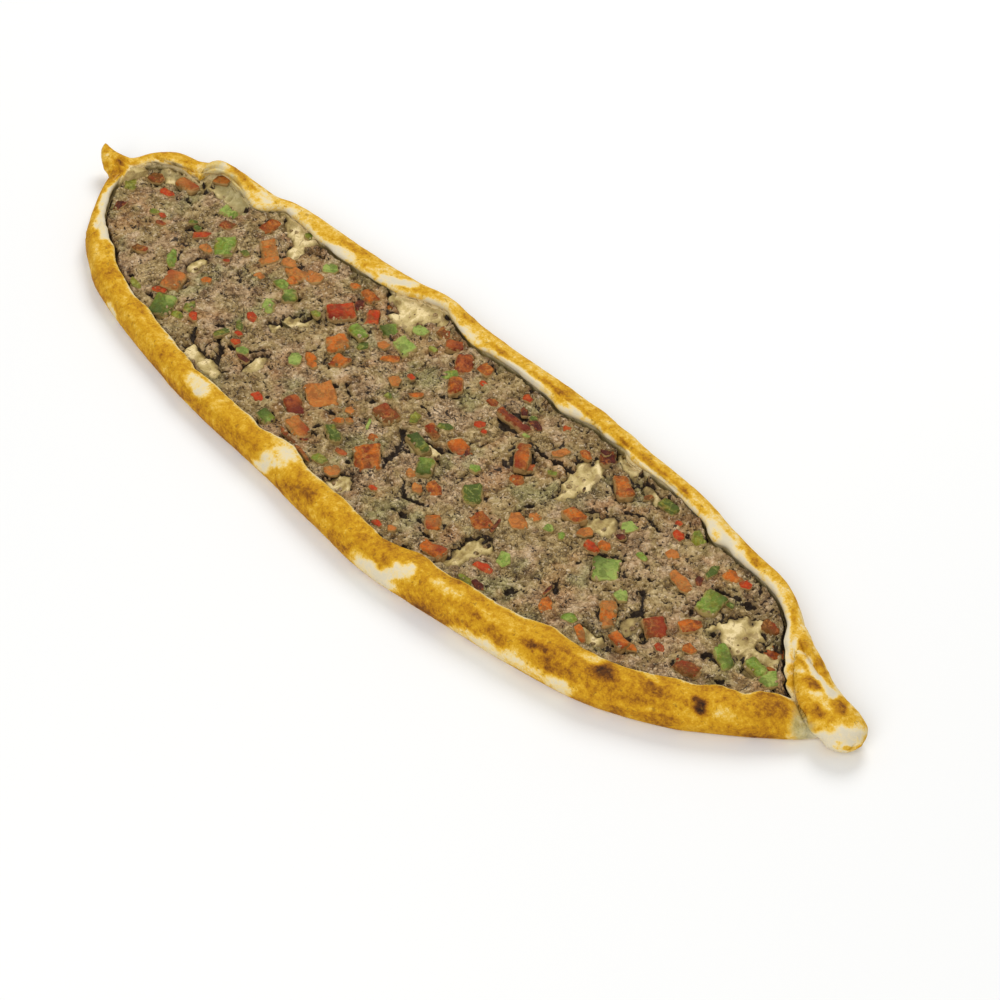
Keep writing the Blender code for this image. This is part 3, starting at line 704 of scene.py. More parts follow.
# Cracks (half width, depth, line) and holes (x, y, half length, half width, turn, depth).
MINCE_CRACKS = [
    (0.6, 3, [(-197, 25), (-195, 22), (-190, 20.5), (-185, 19)]),
    (0.9, 3.2, [(-119, -31), (-113, -37), (-107, -40)]),
    (0.8, 3.2, [(-108, -24), (-104, -29), (-99, -31), (-93, -38)]),
    (0.6, 2.6, [(-104, -29), (-106, -34), (-101, -40)]),
    (0.6, 2.4, [(-134, 36), (-130, 33)]),
    (0.6, 2.4, [(-109, 18), (-103, 16)]),
    (0.8, 2.8, [(-85, -18), (-87, -20), (-88, -24)]),
    (0.7, 2.6, [(-45, -3), (-41, -6), (-37, -7)]),
    (1.3, 3.2, [(-4, -4), (0, -8), (3, -12), (5, -17), (6, -22)]),
    (0.8, 2.6, [(-4, -35), (2, -39)]),
    (0.7, 2.4, [(-10, 12), (-6, 12), (-3, 10)]),
    (0.6, 2.4, [(27, 14), (28, 20)]),
    (0.9, 3, [(43, 31), (51, 31), (60, 33), (66, 34), (70, 35)]),
    (0.8, 2.8, [(68, 43), (70, 35)]),
    (1, 3, [(30, -39), (38, -38)]),
    (0.9, 3, [(50, -50), (54, -50)]),
    (0.8, 2.6, [(108, -16), (113, -20)]),
    (1.1, 3.2, [(156, 31), (160, 32), (165, 34)]),
    (0.9, 2.6, [(205, 13), (209, 9)]),
    (0.7, 2.2, [(-166, -2), (-160, -12), (-157, -20)]),
    (0.6, 2, [(-74, 8), (-70, 1), (-72, -6)]),
    (0.7, 2.2, [(106, -2), (110, 10), (118, 14)]),
    (0.8, 2.6, [(134, 10), (142, 1), (146, -2), (156, -12)]),
    (0.7, 2.4, [(98, 34), (106, 38), (116, 36)]),
    (0.7, 2.2, [(20, -24), (28, -31), (40, -27)]),
]
MINCE_HOLES = [
    (-193, 30.5, 1.6, 1.2, 0, 3), (-174, 10.5, 4.6, 2, 55, 3.4), (-168, -31, 1.6, 1.2, 0, 3),
    (-151, -33, 1.8, 1.2, 0, 3), (-132, 28, 1.6, 1.4, 0, 3), (-95, 23, 1.5, 1.1, 0, 2.6),
    (-33, -21, 2, 1.4, 0, 3), (-31, -31, 1.5, 2, 0, 3), (-26, -3, 1.5, 2, 0, 2.8), (-5, 29, 2, 3.6, 0, 2.4),
    (-9, 23, 1.6, 1.2, 0, 2.6), (68, 6, 2.2, 2.8, 0, 3), (43, -35, 1.6, 1.2, 0, 3),
    (52, -39, 2.4, 1.8, 0, 3), (133, 14, 1.3, 1.2, 0, 2.8), (130, 11, 1.2, 1.1, 0, 2.8),
    (143, -3, 2.4, 1.8, 0, 3), (144, -10, 1.6, 1.4, 0, 2.8), (157, 15, 1.4, 1.4, 0, 3),
    (172, 12, 1.5, 1.5, 0, 3), (171, 34, 2.4, 2.2, 0, 3), (99, -34, 2, 3, 0, 3.2),
    (-112, -22, 2.6, 1.6, 30, 3), (-96, -27, 2.2, 1.6, 0, 3), (188, 12, 2.6, 1.4, -40, 3),
    (192, -4, 2.4, 1.6, 20, 3), (178, 2, 1.6, 2.8, 0, 3), (150, -6, 2, 1.4, 0, 3),
]


def grains(x, y, size, seed):
    """(distance from its grain's middle, and from its border, the grain's number, -1 to 1) for each place."""
    column = np.floor(x / size).astype(np.int64)
    row = np.floor(y / size).astype(np.int64)
    nearest = np.full(len(x), 1e9)
    second = np.full(len(x), 1e9)
    own = np.zeros(len(x))
    for step_x, step_y in itertools.product((-1, 0, 1), repeat=2):
        cx, cy = column + step_x, row + step_y
        mixed = ((cx * 73856093) ^ (cy * 19349663) ^ (seed * 83492791)) & 0xFFFFFFFF
        mixed = ((mixed ^ (mixed >> 15)) * 2246822519) & 0xFFFFFFFF
        mixed = ((mixed ^ (mixed >> 13)) * 3266489917) & 0xFFFFFFFF
        at_x = (cx + (mixed & 1023) / 1023) * size
        at_y = (cy + ((mixed >> 10) & 1023) / 1023) * size
        gap = np.hypot(x - at_x, y - at_y)
        closer = gap < nearest
        second = np.where(closer, nearest, np.minimum(second, gap))
        own = np.where(closer, ((mixed >> 20) & 1023) / 511.5 - 1, own)
        nearest = np.where(closer, gap, nearest)
    return nearest, second - nearest, own


grid_x = np.arange(-229, 228, MINCE_GRID)
grid_y = np.arange(-58, 62, MINCE_GRID)
wide, tall = len(grid_x), len(grid_y)
even = np.stack([np.repeat(grid_x, tall), np.tile(grid_y, wide)], axis=1)
mince_place = even + 0.22 * np.stack([lumps(even, 1.0, 91), lumps(even, 1.0, 92)], axis=1)
mince_x, mince_y = mince_place.T
_, from_rim, beside_far_rim = beside_lip(mince_place)

# Footprints of the diced pieces, which keep their places free.
dice = {name: piece for name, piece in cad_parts.items() if name not in ("dough_boat", "mince_filling")}
headings = np.linspace(-math.pi, math.pi, 25)
near_die = np.full(len(mince_x), 9.0)
for piece in dice.values():
    corner = np.array([v.co[:2] for v in piece.data.vertices]) / MM
    middle = corner.mean(axis=0)
    around = np.where(np.hypot(mince_x - middle[0], mince_y - middle[1]) < 16)[0]
    outline = corner - middle
    turn = np.arctan2(outline[:, 1], outline[:, 0])
    out = np.hypot(*outline.T)
    reach = []
    for heading in headings:
        that_way = out[np.abs((turn - heading + math.pi) % (2 * math.pi) - math.pi) < 0.45]
        reach.append(that_way.max() if len(that_way) else out.mean())
    gap_x, gap_y = mince_x[around] - middle[0], mince_y[around] - middle[1]
    own_reach = np.interp(np.arctan2(gap_y, gap_x), headings, reach)
    near_die[around] = np.minimum(near_die[around], np.hypot(gap_x, gap_y) - own_reach)

# The top: a gently uneven layer of clods and grains, with pores, fissures, cracks and holes in it. It hugs
# the diced pieces, climbs the far rim, has shrunk back from the rim in places, and ends at the bare dough.
bare, _ = bare_reach(mince_x, mince_y)
even_top = MINCE_TOP + 0.45 * lumps(mince_place, 27, 41) + 0.4 * lumps(mince_place, 10, 42)
bent_x = mince_x + 2.4 * lumps(mince_place, 6, 43)
bent_y = mince_y + 2.4 * lumps(mince_place, 6, 44)
_, border, clod = grains(bent_x, bent_y, CLOD_SIZE, 5)
clod_edge = (1 - ease(border, 0.2, 1.3)) * ease(lumps(mince_place, 13, 45), -0.1, 0.5)
bent_x = mince_x + 0.6 * lumps(mince_place, 1.8, 46)
bent_y = mince_y + 0.6 * lumps(mince_place, 1.8, 47)
gap, _, own_grain = grains(bent_x, bent_y, GRAIN_SIZE, 6)
dome = 1 - (gap / (0.75 * GRAIN_SIZE)) ** 2
pore_gap, _, pore = grains(mince_x, mince_y, PORE_SPACING, 7)
pitted = ease(lumps(mince_place, 7, 48), -0.4, 0.6)
tone_lumps = lumps(mince_place, 1.3, 63)
crumbly = 0.30 * lumps(mince_place, 4.2, 49) + 0.24 * lumps(mince_place, 2.1, 62) + 0.2 * tone_lumps
mince_z = even_top + 0.4 * clod + crumbly + 0.2 * dome + 0.16 * own_grain - 0.7 * clod_edge
pores = (1 - ease(pore_gap, 0.35, 0.38 + 0.72 * ease(pore, -0.2, 1))) * ease(pore + pitted, 0.1, 0.9)
fissure = 1 - ease(np.abs(lumps(mince_place, 5.2, 64) + 0.35 * lumps(mince_place, 2.2, 65)), 0.0, 0.15)
fissure *= ease(lumps(mince_place, 8.5, 66), -0.1, 0.35)
mince_z -= 1.5 * pores + 1.5 * fissure
rough_line = 0.7 * lumps(mince_place, 3, 50) + 0.4 * lumps(mince_place, 1.4, 51)
for half_width, depth, line in MINCE_CRACKS:
    gap = line_gap(mince_x, mince_y, line)[0] + rough_line
    mince_z -= depth * hump(np.maximum(gap, 0), half_width)
for *hole, depth in MINCE_HOLES:
    mince_z -= depth * (1 - ease(oval_reach(mince_x, mince_y, hole) + 0.4 * rough_line, 0.7, 1.3))
hugging = 1 - ease(np.abs(near_die + 0.6), 0.4, 1.9)
hugging *= lumps(mince_place, 3.4, 55) + 0.3 * lumps(mince_place, 1.5, 69)
below_die = 1 - ease(near_die, -2.8, -1.5)
mince_z += 1.5 * np.maximum(hugging, 0) + 2.2 * np.minimum(hugging, 0) - 1.6 * below_die
climbing = 2.6 * (1 - ease(from_rim, 0.3, 6.0)) * ease(lumps(mince_place, 14, 67), -1.0, -0.1)
climbing = np.where(beside_far_rim & (mince_x > -200), climbing, 0.3 * (1 - ease(from_rim, 0.5, 5.0)))
shrunk = 1.6 * ease(lumps(mince_place, 16, 52), -0.6, 0.6)
shrunk += 0.8 * lumps(mince_place, 4, 53) + 0.5 * lumps(mince_place, 1.8, 54)
shrunk = np.where(beside_far_rim, 0.5 * shrunk - 0.3, 0.4 * shrunk)
at_rim = ease(from_rim - shrunk, -0.8, 1.3)
at_bare = ease(bare + 0.1 * rough_line, 0.93, 1.16)
mince_z += 0.5 * (1 - ease(bare, 1.05, 1.5)) * ease(lumps(mince_place, 5, 70), -0.4, 0.6)
mince_z = np.minimum(mince_z, MINCE_CEILING + 0.35 * (mince_z - MINCE_CEILING)) + climbing
mince_z = MINCE_LOW + np.maximum(mince_z - MINCE_LOW, 0) * np.minimum(at_rim, at_bare)

# Cells of the grid that lie inside the lip, less those that would touch the rest at one corner only.
kept = from_rim > -TUCKED_UNDER_LIP
cell = np.arange(wide - 1)[:, None] * tall + np.arange(tall - 1)
filled = kept[cell] & kept[cell + 1] & kept[cell + tall] & kept[cell + tall + 1]
filled[:-1, :-1] &= ~(filled[1:, 1:] & ~filled[1:, :-1] & ~filled[:-1, 1:])
filled[1:, :-1] &= ~(filled[:-1, 1:] & ~filled[:-1, :-1] & ~filled[1:, 1:])
cell = cell[filled]
corners = np.stack([cell, cell + tall, cell + tall + 1, cell + 1], axis=1)
used, corners = np.unique(corners, return_inverse=True)
corners = corners.reshape(-1, 4)
mince_mesh = bpy.data.meshes.new("mince")
mince_points = np.column_stack([mince_place, mince_z])[used] * MM
mince_mesh.from_pydata(mince_points.tolist(), [], corners.tolist())

# How sunken each place is, painted as shade, how dark with juice and painted shade, green or red from the
# vegetables, its grain's own tone, and where there is room for loose crumbs.
sunken = ease(even_top + climbing + 0.3 * clod - mince_z, 0.45, 1.7)
# Dark by the rim, widest under the far lip, and at the edge of the bare dough: partly juice, partly painted
# shade.
juicy = 1 - ease(from_rim, 0.5, np.where(beside_far_rim, 5.0, 2.5))
juicy *= ease(lumps(mince_place, 9, 56), -0.8, 0.4)
juicy = np.maximum(juicy, 0.85 * (1 - ease(bare, 1.0, 1.7)) * ease(lumps(mince_place, 6, 57), -0.4, 0.4))
juicy = np.maximum(juicy, 0.5 * ease(mince_x, 165, 205) * ease(lumps(mince_place, 8, 68), -0.3, 0.6))
green_tint = ease(lumps(mince_place, 17, 58) + 0.6 * lumps(mince_place, 5, 59), 0.1, 1.0)
red_tint = ease(lumps(mince_place, 15, 60) + 0.6 * lumps(mince_place, 4.5, 61), 0.2, 0.9)
tone = 0.5 + 0.25 * own_grain + 0.25 * tone_lumps
room = (near_die > 0.6) & (bare > 1.12) & (sunken < 0.5) & (from_rim > 1.5)
for name, values in (("sunken", sunken), ("juicy", juicy), ("green_tint", green_tint), ("red_tint", red_tint),
                     ("tone", tone), ("room", room)):
    store(mince_mesh, name, values[used])

shape = bmesh.new()
shape.from_mesh(mince_mesh)
edge_of_top = [e for e in shape.edges if e.is_boundary]
walls = bmesh.ops.extrude_edge_only(shape, edges=edge_of_top)["geom"]
for v in (g for g in walls if isinstance(g, bmesh.types.BMVert)):
    v.co.z = MINCE_UNDER * MM
open_rim = [g for g in walls if isinstance(g, bmesh.types.BMEdge) and g.is_boundary]
under = bmesh.ops.contextual_create(shape, geom=open_rim)
bmesh.ops.triangulate(shape, faces=under["faces"])
bmesh.ops.recalc_face_normals(shape, faces=shape.faces)
shape.to_mesh(mince_mesh)
shape.free()
mince = shown("mince", mince_mesh)

# Fused minced meat: grains of many browns and greys, pinker, greener and redder in patches, with paler fat,
# browned juice that is partly painted shade, and painted shade: dark gaps between grains, pits, and hollows
# that are nearly black.
meat, shader = finish("cooked_mince", 0.55, 0.25)
where = node(meat, "ShaderNodeTexCoord").outputs["Object"]
push = node(meat, "ShaderNodeTexNoise", Vector=where, Scale=420.0, Detail=3.0, Roughness=0.6).outputs["Color"]
bent = node(meat, "ShaderNodeMixRGB", {"blend_type": "LINEAR_LIGHT"}, Fac=0.0016, Color1=where, Color2=push)
bent = bent.outputs["Color"]
grain = node(meat, "ShaderNodeTexVoronoi", {"feature": "F1"}, Vector=bent, Scale=520.0).outputs["Color"]
gap = node(meat, "ShaderNodeTexVoronoi", {"feature": "DISTANCE_TO_EDGE"}, Vector=bent, Scale=520.0)
gap = gap.outputs["Distance"]
mottle = speckle(meat, 300, 4, 0.7)
fine = speckle(meat, 1300, 3, 0.7)
broad = speckle(meat, 110, 2)
tone = weighted(meat, (stain(meat, "tone"), 0.25), (mottle, 0.38), (grain, 0.22), (broad, 0.6), (fine, 0.5),
                plus=-0.538)
colour = ramp(meat, tone, [
    (0.22, (0.10, 0.052, 0.014)), (0.34, (0.235, 0.148, 0.046)), (0.47, (0.40, 0.275, 0.108)),
    (0.62, (0.55, 0.405, 0.19)), (0.80, (0.74, 0.59, 0.35)),
])
pink = ramp(meat, tone, [
    (0.22, (0.12, 0.058, 0.024)), (0.34, (0.27, 0.155, 0.070)), (0.47, (0.46, 0.29, 0.145)),
    (0.78, (0.76, 0.56, 0.36)),
])
green = ramp(meat, tone, [
    (0.22, (0.06, 0.055, 0.016)), (0.47, (0.27, 0.255, 0.09)), (0.78, (0.54, 0.50, 0.24)),
])
red = ramp(meat, tone, [
    (0.25, (0.19, 0.06, 0.016)), (0.47, (0.46, 0.21, 0.07)), (0.78, (0.68, 0.38, 0.17)),
])
colour = tinted(meat, colour, between(meat, speckle(meat, 75, 3, 0.6), 0.46, 0.60), 0.8, pink)
colour = tinted(meat, colour, stain(meat, "green_tint"), 0.6, green)
colour = tinted(meat, colour, stain(meat, "red_tint"), 0.40, red)
# Browned juice, and by the rim and the bare dough partly painted shade.
colour = tinted(meat, colour, stain(meat, "juicy"), 0.55, (0.085, 0.045, 0.013))
fat = between(meat, speckle(meat, 620, 2, 0.5, 1.0), 0.60, 0.65)
colour = tinted(meat, colour, fat, 0.5, (0.80, 0.64, 0.43))
# Painted shade: dark lines in the gaps between grains, in patches.
loose = between(meat, speckle(meat, 85, 4, 0.7), 0.50, 0.60)
grain_gap_shade = maths(meat, "MULTIPLY", between(meat, gap, 0.12, 0.02), loose)
colour = tinted(meat, colour, grain_gap_shade, 0.6, (0.045, 0.024, 0.010))
# Painted shade of pores and holes: small nearly black spots.
pore_shade = between(meat, speckle(meat, 460, 3, 0.6, 1.2), 0.60, 0.62)
pore_shade = maths(meat, "MULTIPLY", pore_shade, between(meat, speckle(meat, 90, 3), 0.44, 0.54))
hole_shade = between(meat, speckle(meat, 250, 4, 0.65, 0.5), 0.615, 0.635)
hole_shade = maths(meat, "MULTIPLY", hole_shade, between(meat, speckle(meat, 60, 2), 0.46, 0.54))
colour = tinted(meat, colour, maths(meat, "MAXIMUM", pore_shade, hole_shade), 0.94, (0.024, 0.012, 0.005))
# Painted shade: the deeper a place lies below the even top, the darker it is painted, and the deepest nearly
# black.
hollow_shade = stain(meat, "sunken")
colour = tinted(meat, colour, hollow_shade, 0.45, (0.10, 0.055, 0.022))
deep_shade = between(meat, weighted(meat, (hollow_shade, 1.0), (mottle, 1.2), plus=-0.6), 0.40, 0.66)
colour = tinted(meat, colour, deep_shade, 0.93, (0.018, 0.009, 0.005))
relief = weighted(meat, (mottle, 0.5), (fine, 0.25), (between(meat, gap, 0.0, 0.2), 0.25))
coat(meat, shader, colour, relief, 0.0012, 1.0)
mince_mesh.materials.append(meat)
mince_mesh.shade_smooth()

# Loose and half-fused crumbs on top of the mince, each a lump of its own, and a few strays on the bare dough.


def crumb_tree(material):
    """Scatters lumps over a surface: Poisson-spaced, turned and sized at random, and roughened one by one."""
    tree = bpy.data.node_groups.new("mince_crumbs", "GeometryNodeTree")
    tree.interface.new_socket("Geometry", in_out="INPUT", socket_type="NodeSocketGeometry")
    for name, value in (("Spacing", 0.0024), ("Density", 1.5e5), ("Smallest", 0.00035), ("Largest", 0.00095),
                        ("Sunk", -0.0001), ("Roughness", 0.0006)):
        tree.interface.new_socket(name, in_out="INPUT", socket_type="NodeSocketFloat").default_value = value
    tree.interface.new_socket("Seed", in_out="INPUT", socket_type="NodeSocketInt").default_value = 11
    tree.interface.new_socket("Geometry", in_out="OUTPUT", socket_type="NodeSocketGeometry")
    given = tree.nodes.new("NodeGroupInput").outputs

    def scaled(vector, factor):
        made = node(tree, "ShaderNodeVectorMath", {"operation": "SCALE"}, Vector=vector, Scale=factor)
        return made.outputs["Vector"]

    def moved(geometry, **values):
        return node(tree, "GeometryNodeSetPosition", Geometry=geometry, **values).outputs["Geometry"]

    def picked(kind, low, high, seed):
        """A random value of that kind for each crumb."""
        made = node(tree, "FunctionNodeRandomValue", {"data_type": kind}, Min=low, Max=high, Seed=seed)
        return next(s for s in made.outputs if s.enabled)

    room = node(tree, "GeometryNodeInputNamedAttribute", {"data_type": "FLOAT"}, Name="room")
    scatter = node(tree, "GeometryNodeDistributePointsOnFaces", {"distribute_method": "POISSON"},
                   Mesh=given["Geometry"], Distance_Min=given["Spacing"], Density_Max=given["Density"],
                   Density_Factor=room.outputs["Attribute"], Seed=given["Seed"])
    block = node(tree, "GeometryNodeMeshCube", Size=(1.0, 1.0, 1.0), Vertices_X=3, Vertices_Y=3, Vertices_Z=3)
    where = node(tree, "GeometryNodeInputPosition").outputs["Position"]
    ball = node(tree, "ShaderNodeVectorMath", {"operation": "NORMALIZE"}, Vector=where)
    lump = moved(block.outputs["Mesh"], Position=ball.outputs["Vector"])
    turn = picked("FLOAT_VECTOR", (0, 0, 0), (6.28, 6.28, 6.28), 3)
    side = picked("FLOAT_VECTOR", (0.7, 0.6, 0.5), (1.6, 1.2, 1.0), 4)
    size = picked("FLOAT", given["Smallest"], given["Largest"], 5)
    sunk = scaled(scatter.outputs["Normal"], given["Sunk"])
    placed = node(tree, "GeometryNodeInstanceOnPoints", Points=moved(scatter.outputs["Points"], Offset=sunk),
                  Instance=lump, Rotation=turn, Scale=scaled(side, size)).outputs["Instances"]
    toned = node(tree, "GeometryNodeStoreNamedAttribute", {"data_type": "FLOAT", "domain": "INSTANCE"},
                 Geometry=placed, Name="tone", Value=picked("FLOAT", 0.25, 1.0, 8))
    real = node(tree, "GeometryNodeRealizeInstances", Geometry=toned.outputs["Geometry"]).outputs["Geometry"]
    rough = node(tree, "ShaderNodeTexNoise", Scale=900.0, Detail=1.0).outputs["Color"]
    centred = node(tree, "ShaderNodeVectorMath", {"operation": "SUBTRACT"}, Vector=rough)
    centred.inputs[1].default_value = (0.5, 0.5, 0.5)
    uneven = moved(real, Offset=scaled(centred.outputs["Vector"], given["Roughness"]))
    smooth = node(tree, "GeometryNodeSetShadeSmooth", Geometry=uneven)
    painted = node(tree, "GeometryNodeSetMaterial", Geometry=smooth.outputs["Geometry"], Material=material)
    node(tree, "NodeGroupOutput", Geometry=painted.outputs["Geometry"])
    return tree


crumb_group = crumb_tree(meat)


def scattered(name, surface, **sizes):
    """Crumbs over the surface, as an object. Sizes are the inputs of the tree that differ from its own."""
    piece = shown(name, surface)
    scatter = piece.modifiers.new("scatter", "NODES")
    scatter.node_group = crumb_group
    for item in crumb_group.interface.items_tree:
        if item.name in sizes:
            scatter[item.identifier] = sizes[item.name]
    applied(piece)
    return piece


crumbs = scattered("mince_crumbs", mince_mesh.copy())
bare_patches = dough_mesh.copy()
on_bare = (bare_here < 0.95) & (dough_z < 9.4) & (inside_lip > 1.0) & (facing[:, 2] > 0.4)
store(bare_patches, "room", on_bare * ease(lumps(place, 5, 71), -0.2, 0.5))
stray = scattered("stray_crumbs", bare_patches, Spacing=0.0026, Smallest=0.0004, Largest=0.0014)
for piece in (mince, crumbs, stray):
    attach(piece, "root")
    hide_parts("mince_filling")

# ---------------------------------------------------------------------------------------------------------
# Diced vegetables
# Green and red pepper and tomato, cut by hand into blocks, most of them 9 to 15 mm long, mixed into the mince
# and baked soft. They lie pressed into it, each with its own shade, some with darker skin along one side.
DIE_ROUNDING = 3
BIT_ROUNDING = 2
CORNER_SHARPNESS = 0.5
# Steepest tip of a die, the least and the greatest depth that it sank, and how far from its middle its skin
# is, the last two in metres.
MOST_TIP = 0.14
SUNK = (-0.0001, 0.0015)
SKIN_FROM = 0.0025
# The shade of each piece, in the order of its number: f fresh, l leaf, d deep, y faded for green pepper;
# b bright, o dull, m maroon for red pepper; s salmon, t tan, o orange, f flesh, r dark, b brown for tomato.
DIE_SHADES = {
    "green_pepper": "yfllfllfllddlddlflll", "red_pepper": "bbooobomb", "tomato": "tftsfsoffbstfforftoffrtobb",
}
SHADE_PLACES = {
    "green_pepper": {"f": 1.0, "l": 0.66, "d": 0.0, "y": 0.33},
    "red_pepper": {"b": 1.0, "o": 0.55, "m": 0.0},
    "tomato": {"s": 1.0, "t": 0.8, "o": 0.6, "f": 0.38, "r": 0.16, "b": 0.0},
}


def die_block(piece, shade, picker, shape, layers):
    """Adds one diced piece to the shape, with flat sides again, and marked with its shade and its skin."""
    source = bmesh.new()
    source.from_mesh(piece.data)
    bmesh.ops.remove_doubles(source, verts=source.verts, dist=0.00002)
    bmesh.ops.dissolve_limit(source, angle_limit=math.radians(4), verts=source.verts, edges=source.edges)
    middle = sum((v.co for v in source.verts), Vector()) / len(source.verts)
    side = Vector((1, 0, 0))
    side.rotate(Vector((picker.uniform(-1, 1), picker.uniform(-1, 1), 0)).to_track_quat("X", "Z"))
    tip = Vector((picker.uniform(-MOST_TIP, MOST_TIP), picker.uniform(-MOST_TIP, MOST_TIP), 0))
    sunk = picker.uniform(*SUNK)
    has_skin = picker.random() < 0.5
    made = {}
    for v in source.verts:
        off = v.co - middle
        place = v.co.copy()
        place.z += off.dot(tip) - sunk
        made[v] = shape.verts.new(place)
        made[v][layers["shade"]] = shade
        made[v][layers["skin"]] = 1.0 if has_skin and off.dot(side) > SKIN_FROM else 0.0
    for face in source.faces:
        shape.faces.new([made[v] for v in face.verts])
    source.free()


def finished_bits(name, shape, material, rounds, ripple, seed):
    """Object from the joined blocks, rounded and then made uneven, so that no two pieces are alike."""
    bmesh.ops.recalc_face_normals(shape, faces=shape.faces)
    mesh = bpy.data.meshes.new(name)
    shape.to_mesh(mesh)
    shape.free()
    piece = shown(name, mesh)
    crease = mesh.attributes.new("crease_edge", "FLOAT", "EDGE")
    crease.data.foreach_set("value", np.full(len(mesh.edges), CORNER_SHARPNESS, np.float32))
    rounding = piece.modifiers.new("rounding", "SUBSURF")
    rounding.levels = rounding.render_levels = rounds
    mesh = applied(piece)
    spot = read(mesh, "co") / MM
    outwards = read(mesh, "normal")
    swell = lumps(spot, 4.5, seed) + 0.6 * lumps(spot, 2.2, seed + 1) + 0.3 * lumps(spot, 1.1, seed + 2)
    ragged_x = lumps(spot, 4, seed + 3) + 0.6 * lumps(spot, 1.6, seed + 5)
    ragged_y = lumps(spot, 4, seed + 4) + 0.6 * lumps(spot, 1.6, seed + 6)
    spot += outwards * (ripple * swell)[:, None]
    spot[:, :2] += 1.3 * ripple * np.stack([ragged_x, ragged_y], axis=1)
    mesh.vertices.foreach_set("co", (spot * MM).ravel())
    store(mesh, "edge", 1 - ease(outwards[:, 2], 0.3, 0.96))
    mesh.materials.append(material)
    mesh.shade_smooth()
    return piece


def soft_vegetable(name, flesh, skin_colour, vein, dark, roughness):
    """Baked vegetable: flesh of a shade of its own, with paler veins, brown juice and darker skin."""
    paint, shader = finish(name, roughness, 0.15)
    broad = speckle(paint, 150, 4, 0.7, 0.4)
    fine = speckle(paint, 520, 4, 0.7)
    shade = weighted(paint, (stain(paint, "shade"), 1.0), (broad, 2.0), (fine, 0.8), plus=-1.4)
    colour = ramp(paint, shade, flesh)
    veins = between(paint, speckle(paint, 330, 3, 0.6, 1.2), 0.50, 0.62)
    colour = tinted(paint, colour, veins, 0.45, vein)
    juice = between(paint, speckle(paint, 230, 4, 0.7, 0.6), 0.47, 0.60)
    colour = tinted(paint, colour, juice, 0.5, dark)
    colour = tinted(paint, colour, stain(paint, "skin"), 0.85, skin_colour)
    smeared = weighted(paint, (stain(paint, "edge"), 0.42), (broad, 0.5), (fine, 0.5))
    colour = tinted(paint, colour, between(paint, smeared, 0.56, 0.78), 0.85, (0.36, 0.235, 0.085))
    coat(paint, shader, colour, weighted(paint, (broad, 0.6), (fine, 0.4)), 0.0024, 0.9)
    return paint


VEGETABLES = {
    "green_pepper": soft_vegetable("green_pepper", [
        (0.0, (0.07, 0.10, 0.012)), (0.33, (0.22, 0.19, 0.014)), (0.66, (0.15, 0.235, 0.025)),
        (1.0, (0.29, 0.37, 0.075)),
    ], (0.045, 0.065, 0.008), (0.42, 0.42, 0.10), (0.07, 0.07, 0.010), 0.45),
    "red_pepper": soft_vegetable("red_pepper", [
        (0.0, (0.06, 0.008, 0.003)), (0.35, (0.18, 0.024, 0.005)), (0.6, (0.36, 0.085, 0.012)),
        (1.0, (0.44, 0.036, 0.002)),
    ], (0.11, 0.008, 0.003), (0.48, 0.15, 0.03), (0.10, 0.022, 0.006), 0.42),
    "tomato": soft_vegetable("tomato", [
        (0.0, (0.14, 0.050, 0.006)), (0.16, (0.22, 0.026, 0.003)), (0.38, (0.34, 0.095, 0.010)),
        (0.6, (0.55, 0.115, 0.003)), (0.8, (0.31, 0.14, 0.030)), (1.0, (0.48, 0.15, 0.024)),
    ], (0.26, 0.024, 0.004), (0.56, 0.24, 0.05), (0.15, 0.045, 0.008), 0.45),
}


def blank_shape():
    """Empty shape whose points keep a shade and whether they are skin."""
    shape = bmesh.new()
    return shape, {name: shape.verts.layers.float.new(name) for name in ("shade", "skin")}


diced_surfaces = []
for seed, (kind, paint) in enumerate(VEGETABLES.items()):
    numbered = sorted(name for name in dice if name.startswith(kind))
    shape, layers = blank_shape()
    for name, shade in zip(numbered, DIE_SHADES[kind]):
        die_block(dice[name], SHADE_PLACES[kind][shade], random.Random(name), shape, layers)
    diced = finished_bits("diced_" + kind, shape, paint, DIE_ROUNDING, 0.5, 100 + 10 * seed)
    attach(diced, "root")
    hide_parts(*numbered)
    diced_surfaces.append(diced.data)

# Crumbs of mince that cling to the diced pieces, mostly round their edges.
shape = bmesh.new()
for mesh in diced_surfaces:
    shape.from_mesh(mesh)
clinging_mesh = bpy.data.meshes.new("clinging_crumbs")
shape.to_mesh(clinging_mesh)
shape.free()
spot = read(clinging_mesh, "co") / MM
upward = read(clinging_mesh, "normal")[:, 2]
sticky = lumps(spot, 5, 181) + 0.4 * lumps(spot, 2.5, 182) + 1.1 * (1 - ease(upward, 0.7, 0.985))
store(clinging_mesh, "room", ease(upward, 0.2, 0.4) * ease(sticky, 0.75, 1.1))
for name in ("sunken", "juicy", "green_tint", "red_tint"):
    store(clinging_mesh, name, np.full(len(spot), 0.12))
clinging = scattered("clinging_crumbs", clinging_mesh, Spacing=0.0012, Smallest=0.0004, Largest=0.001)
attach(clinging, "root")

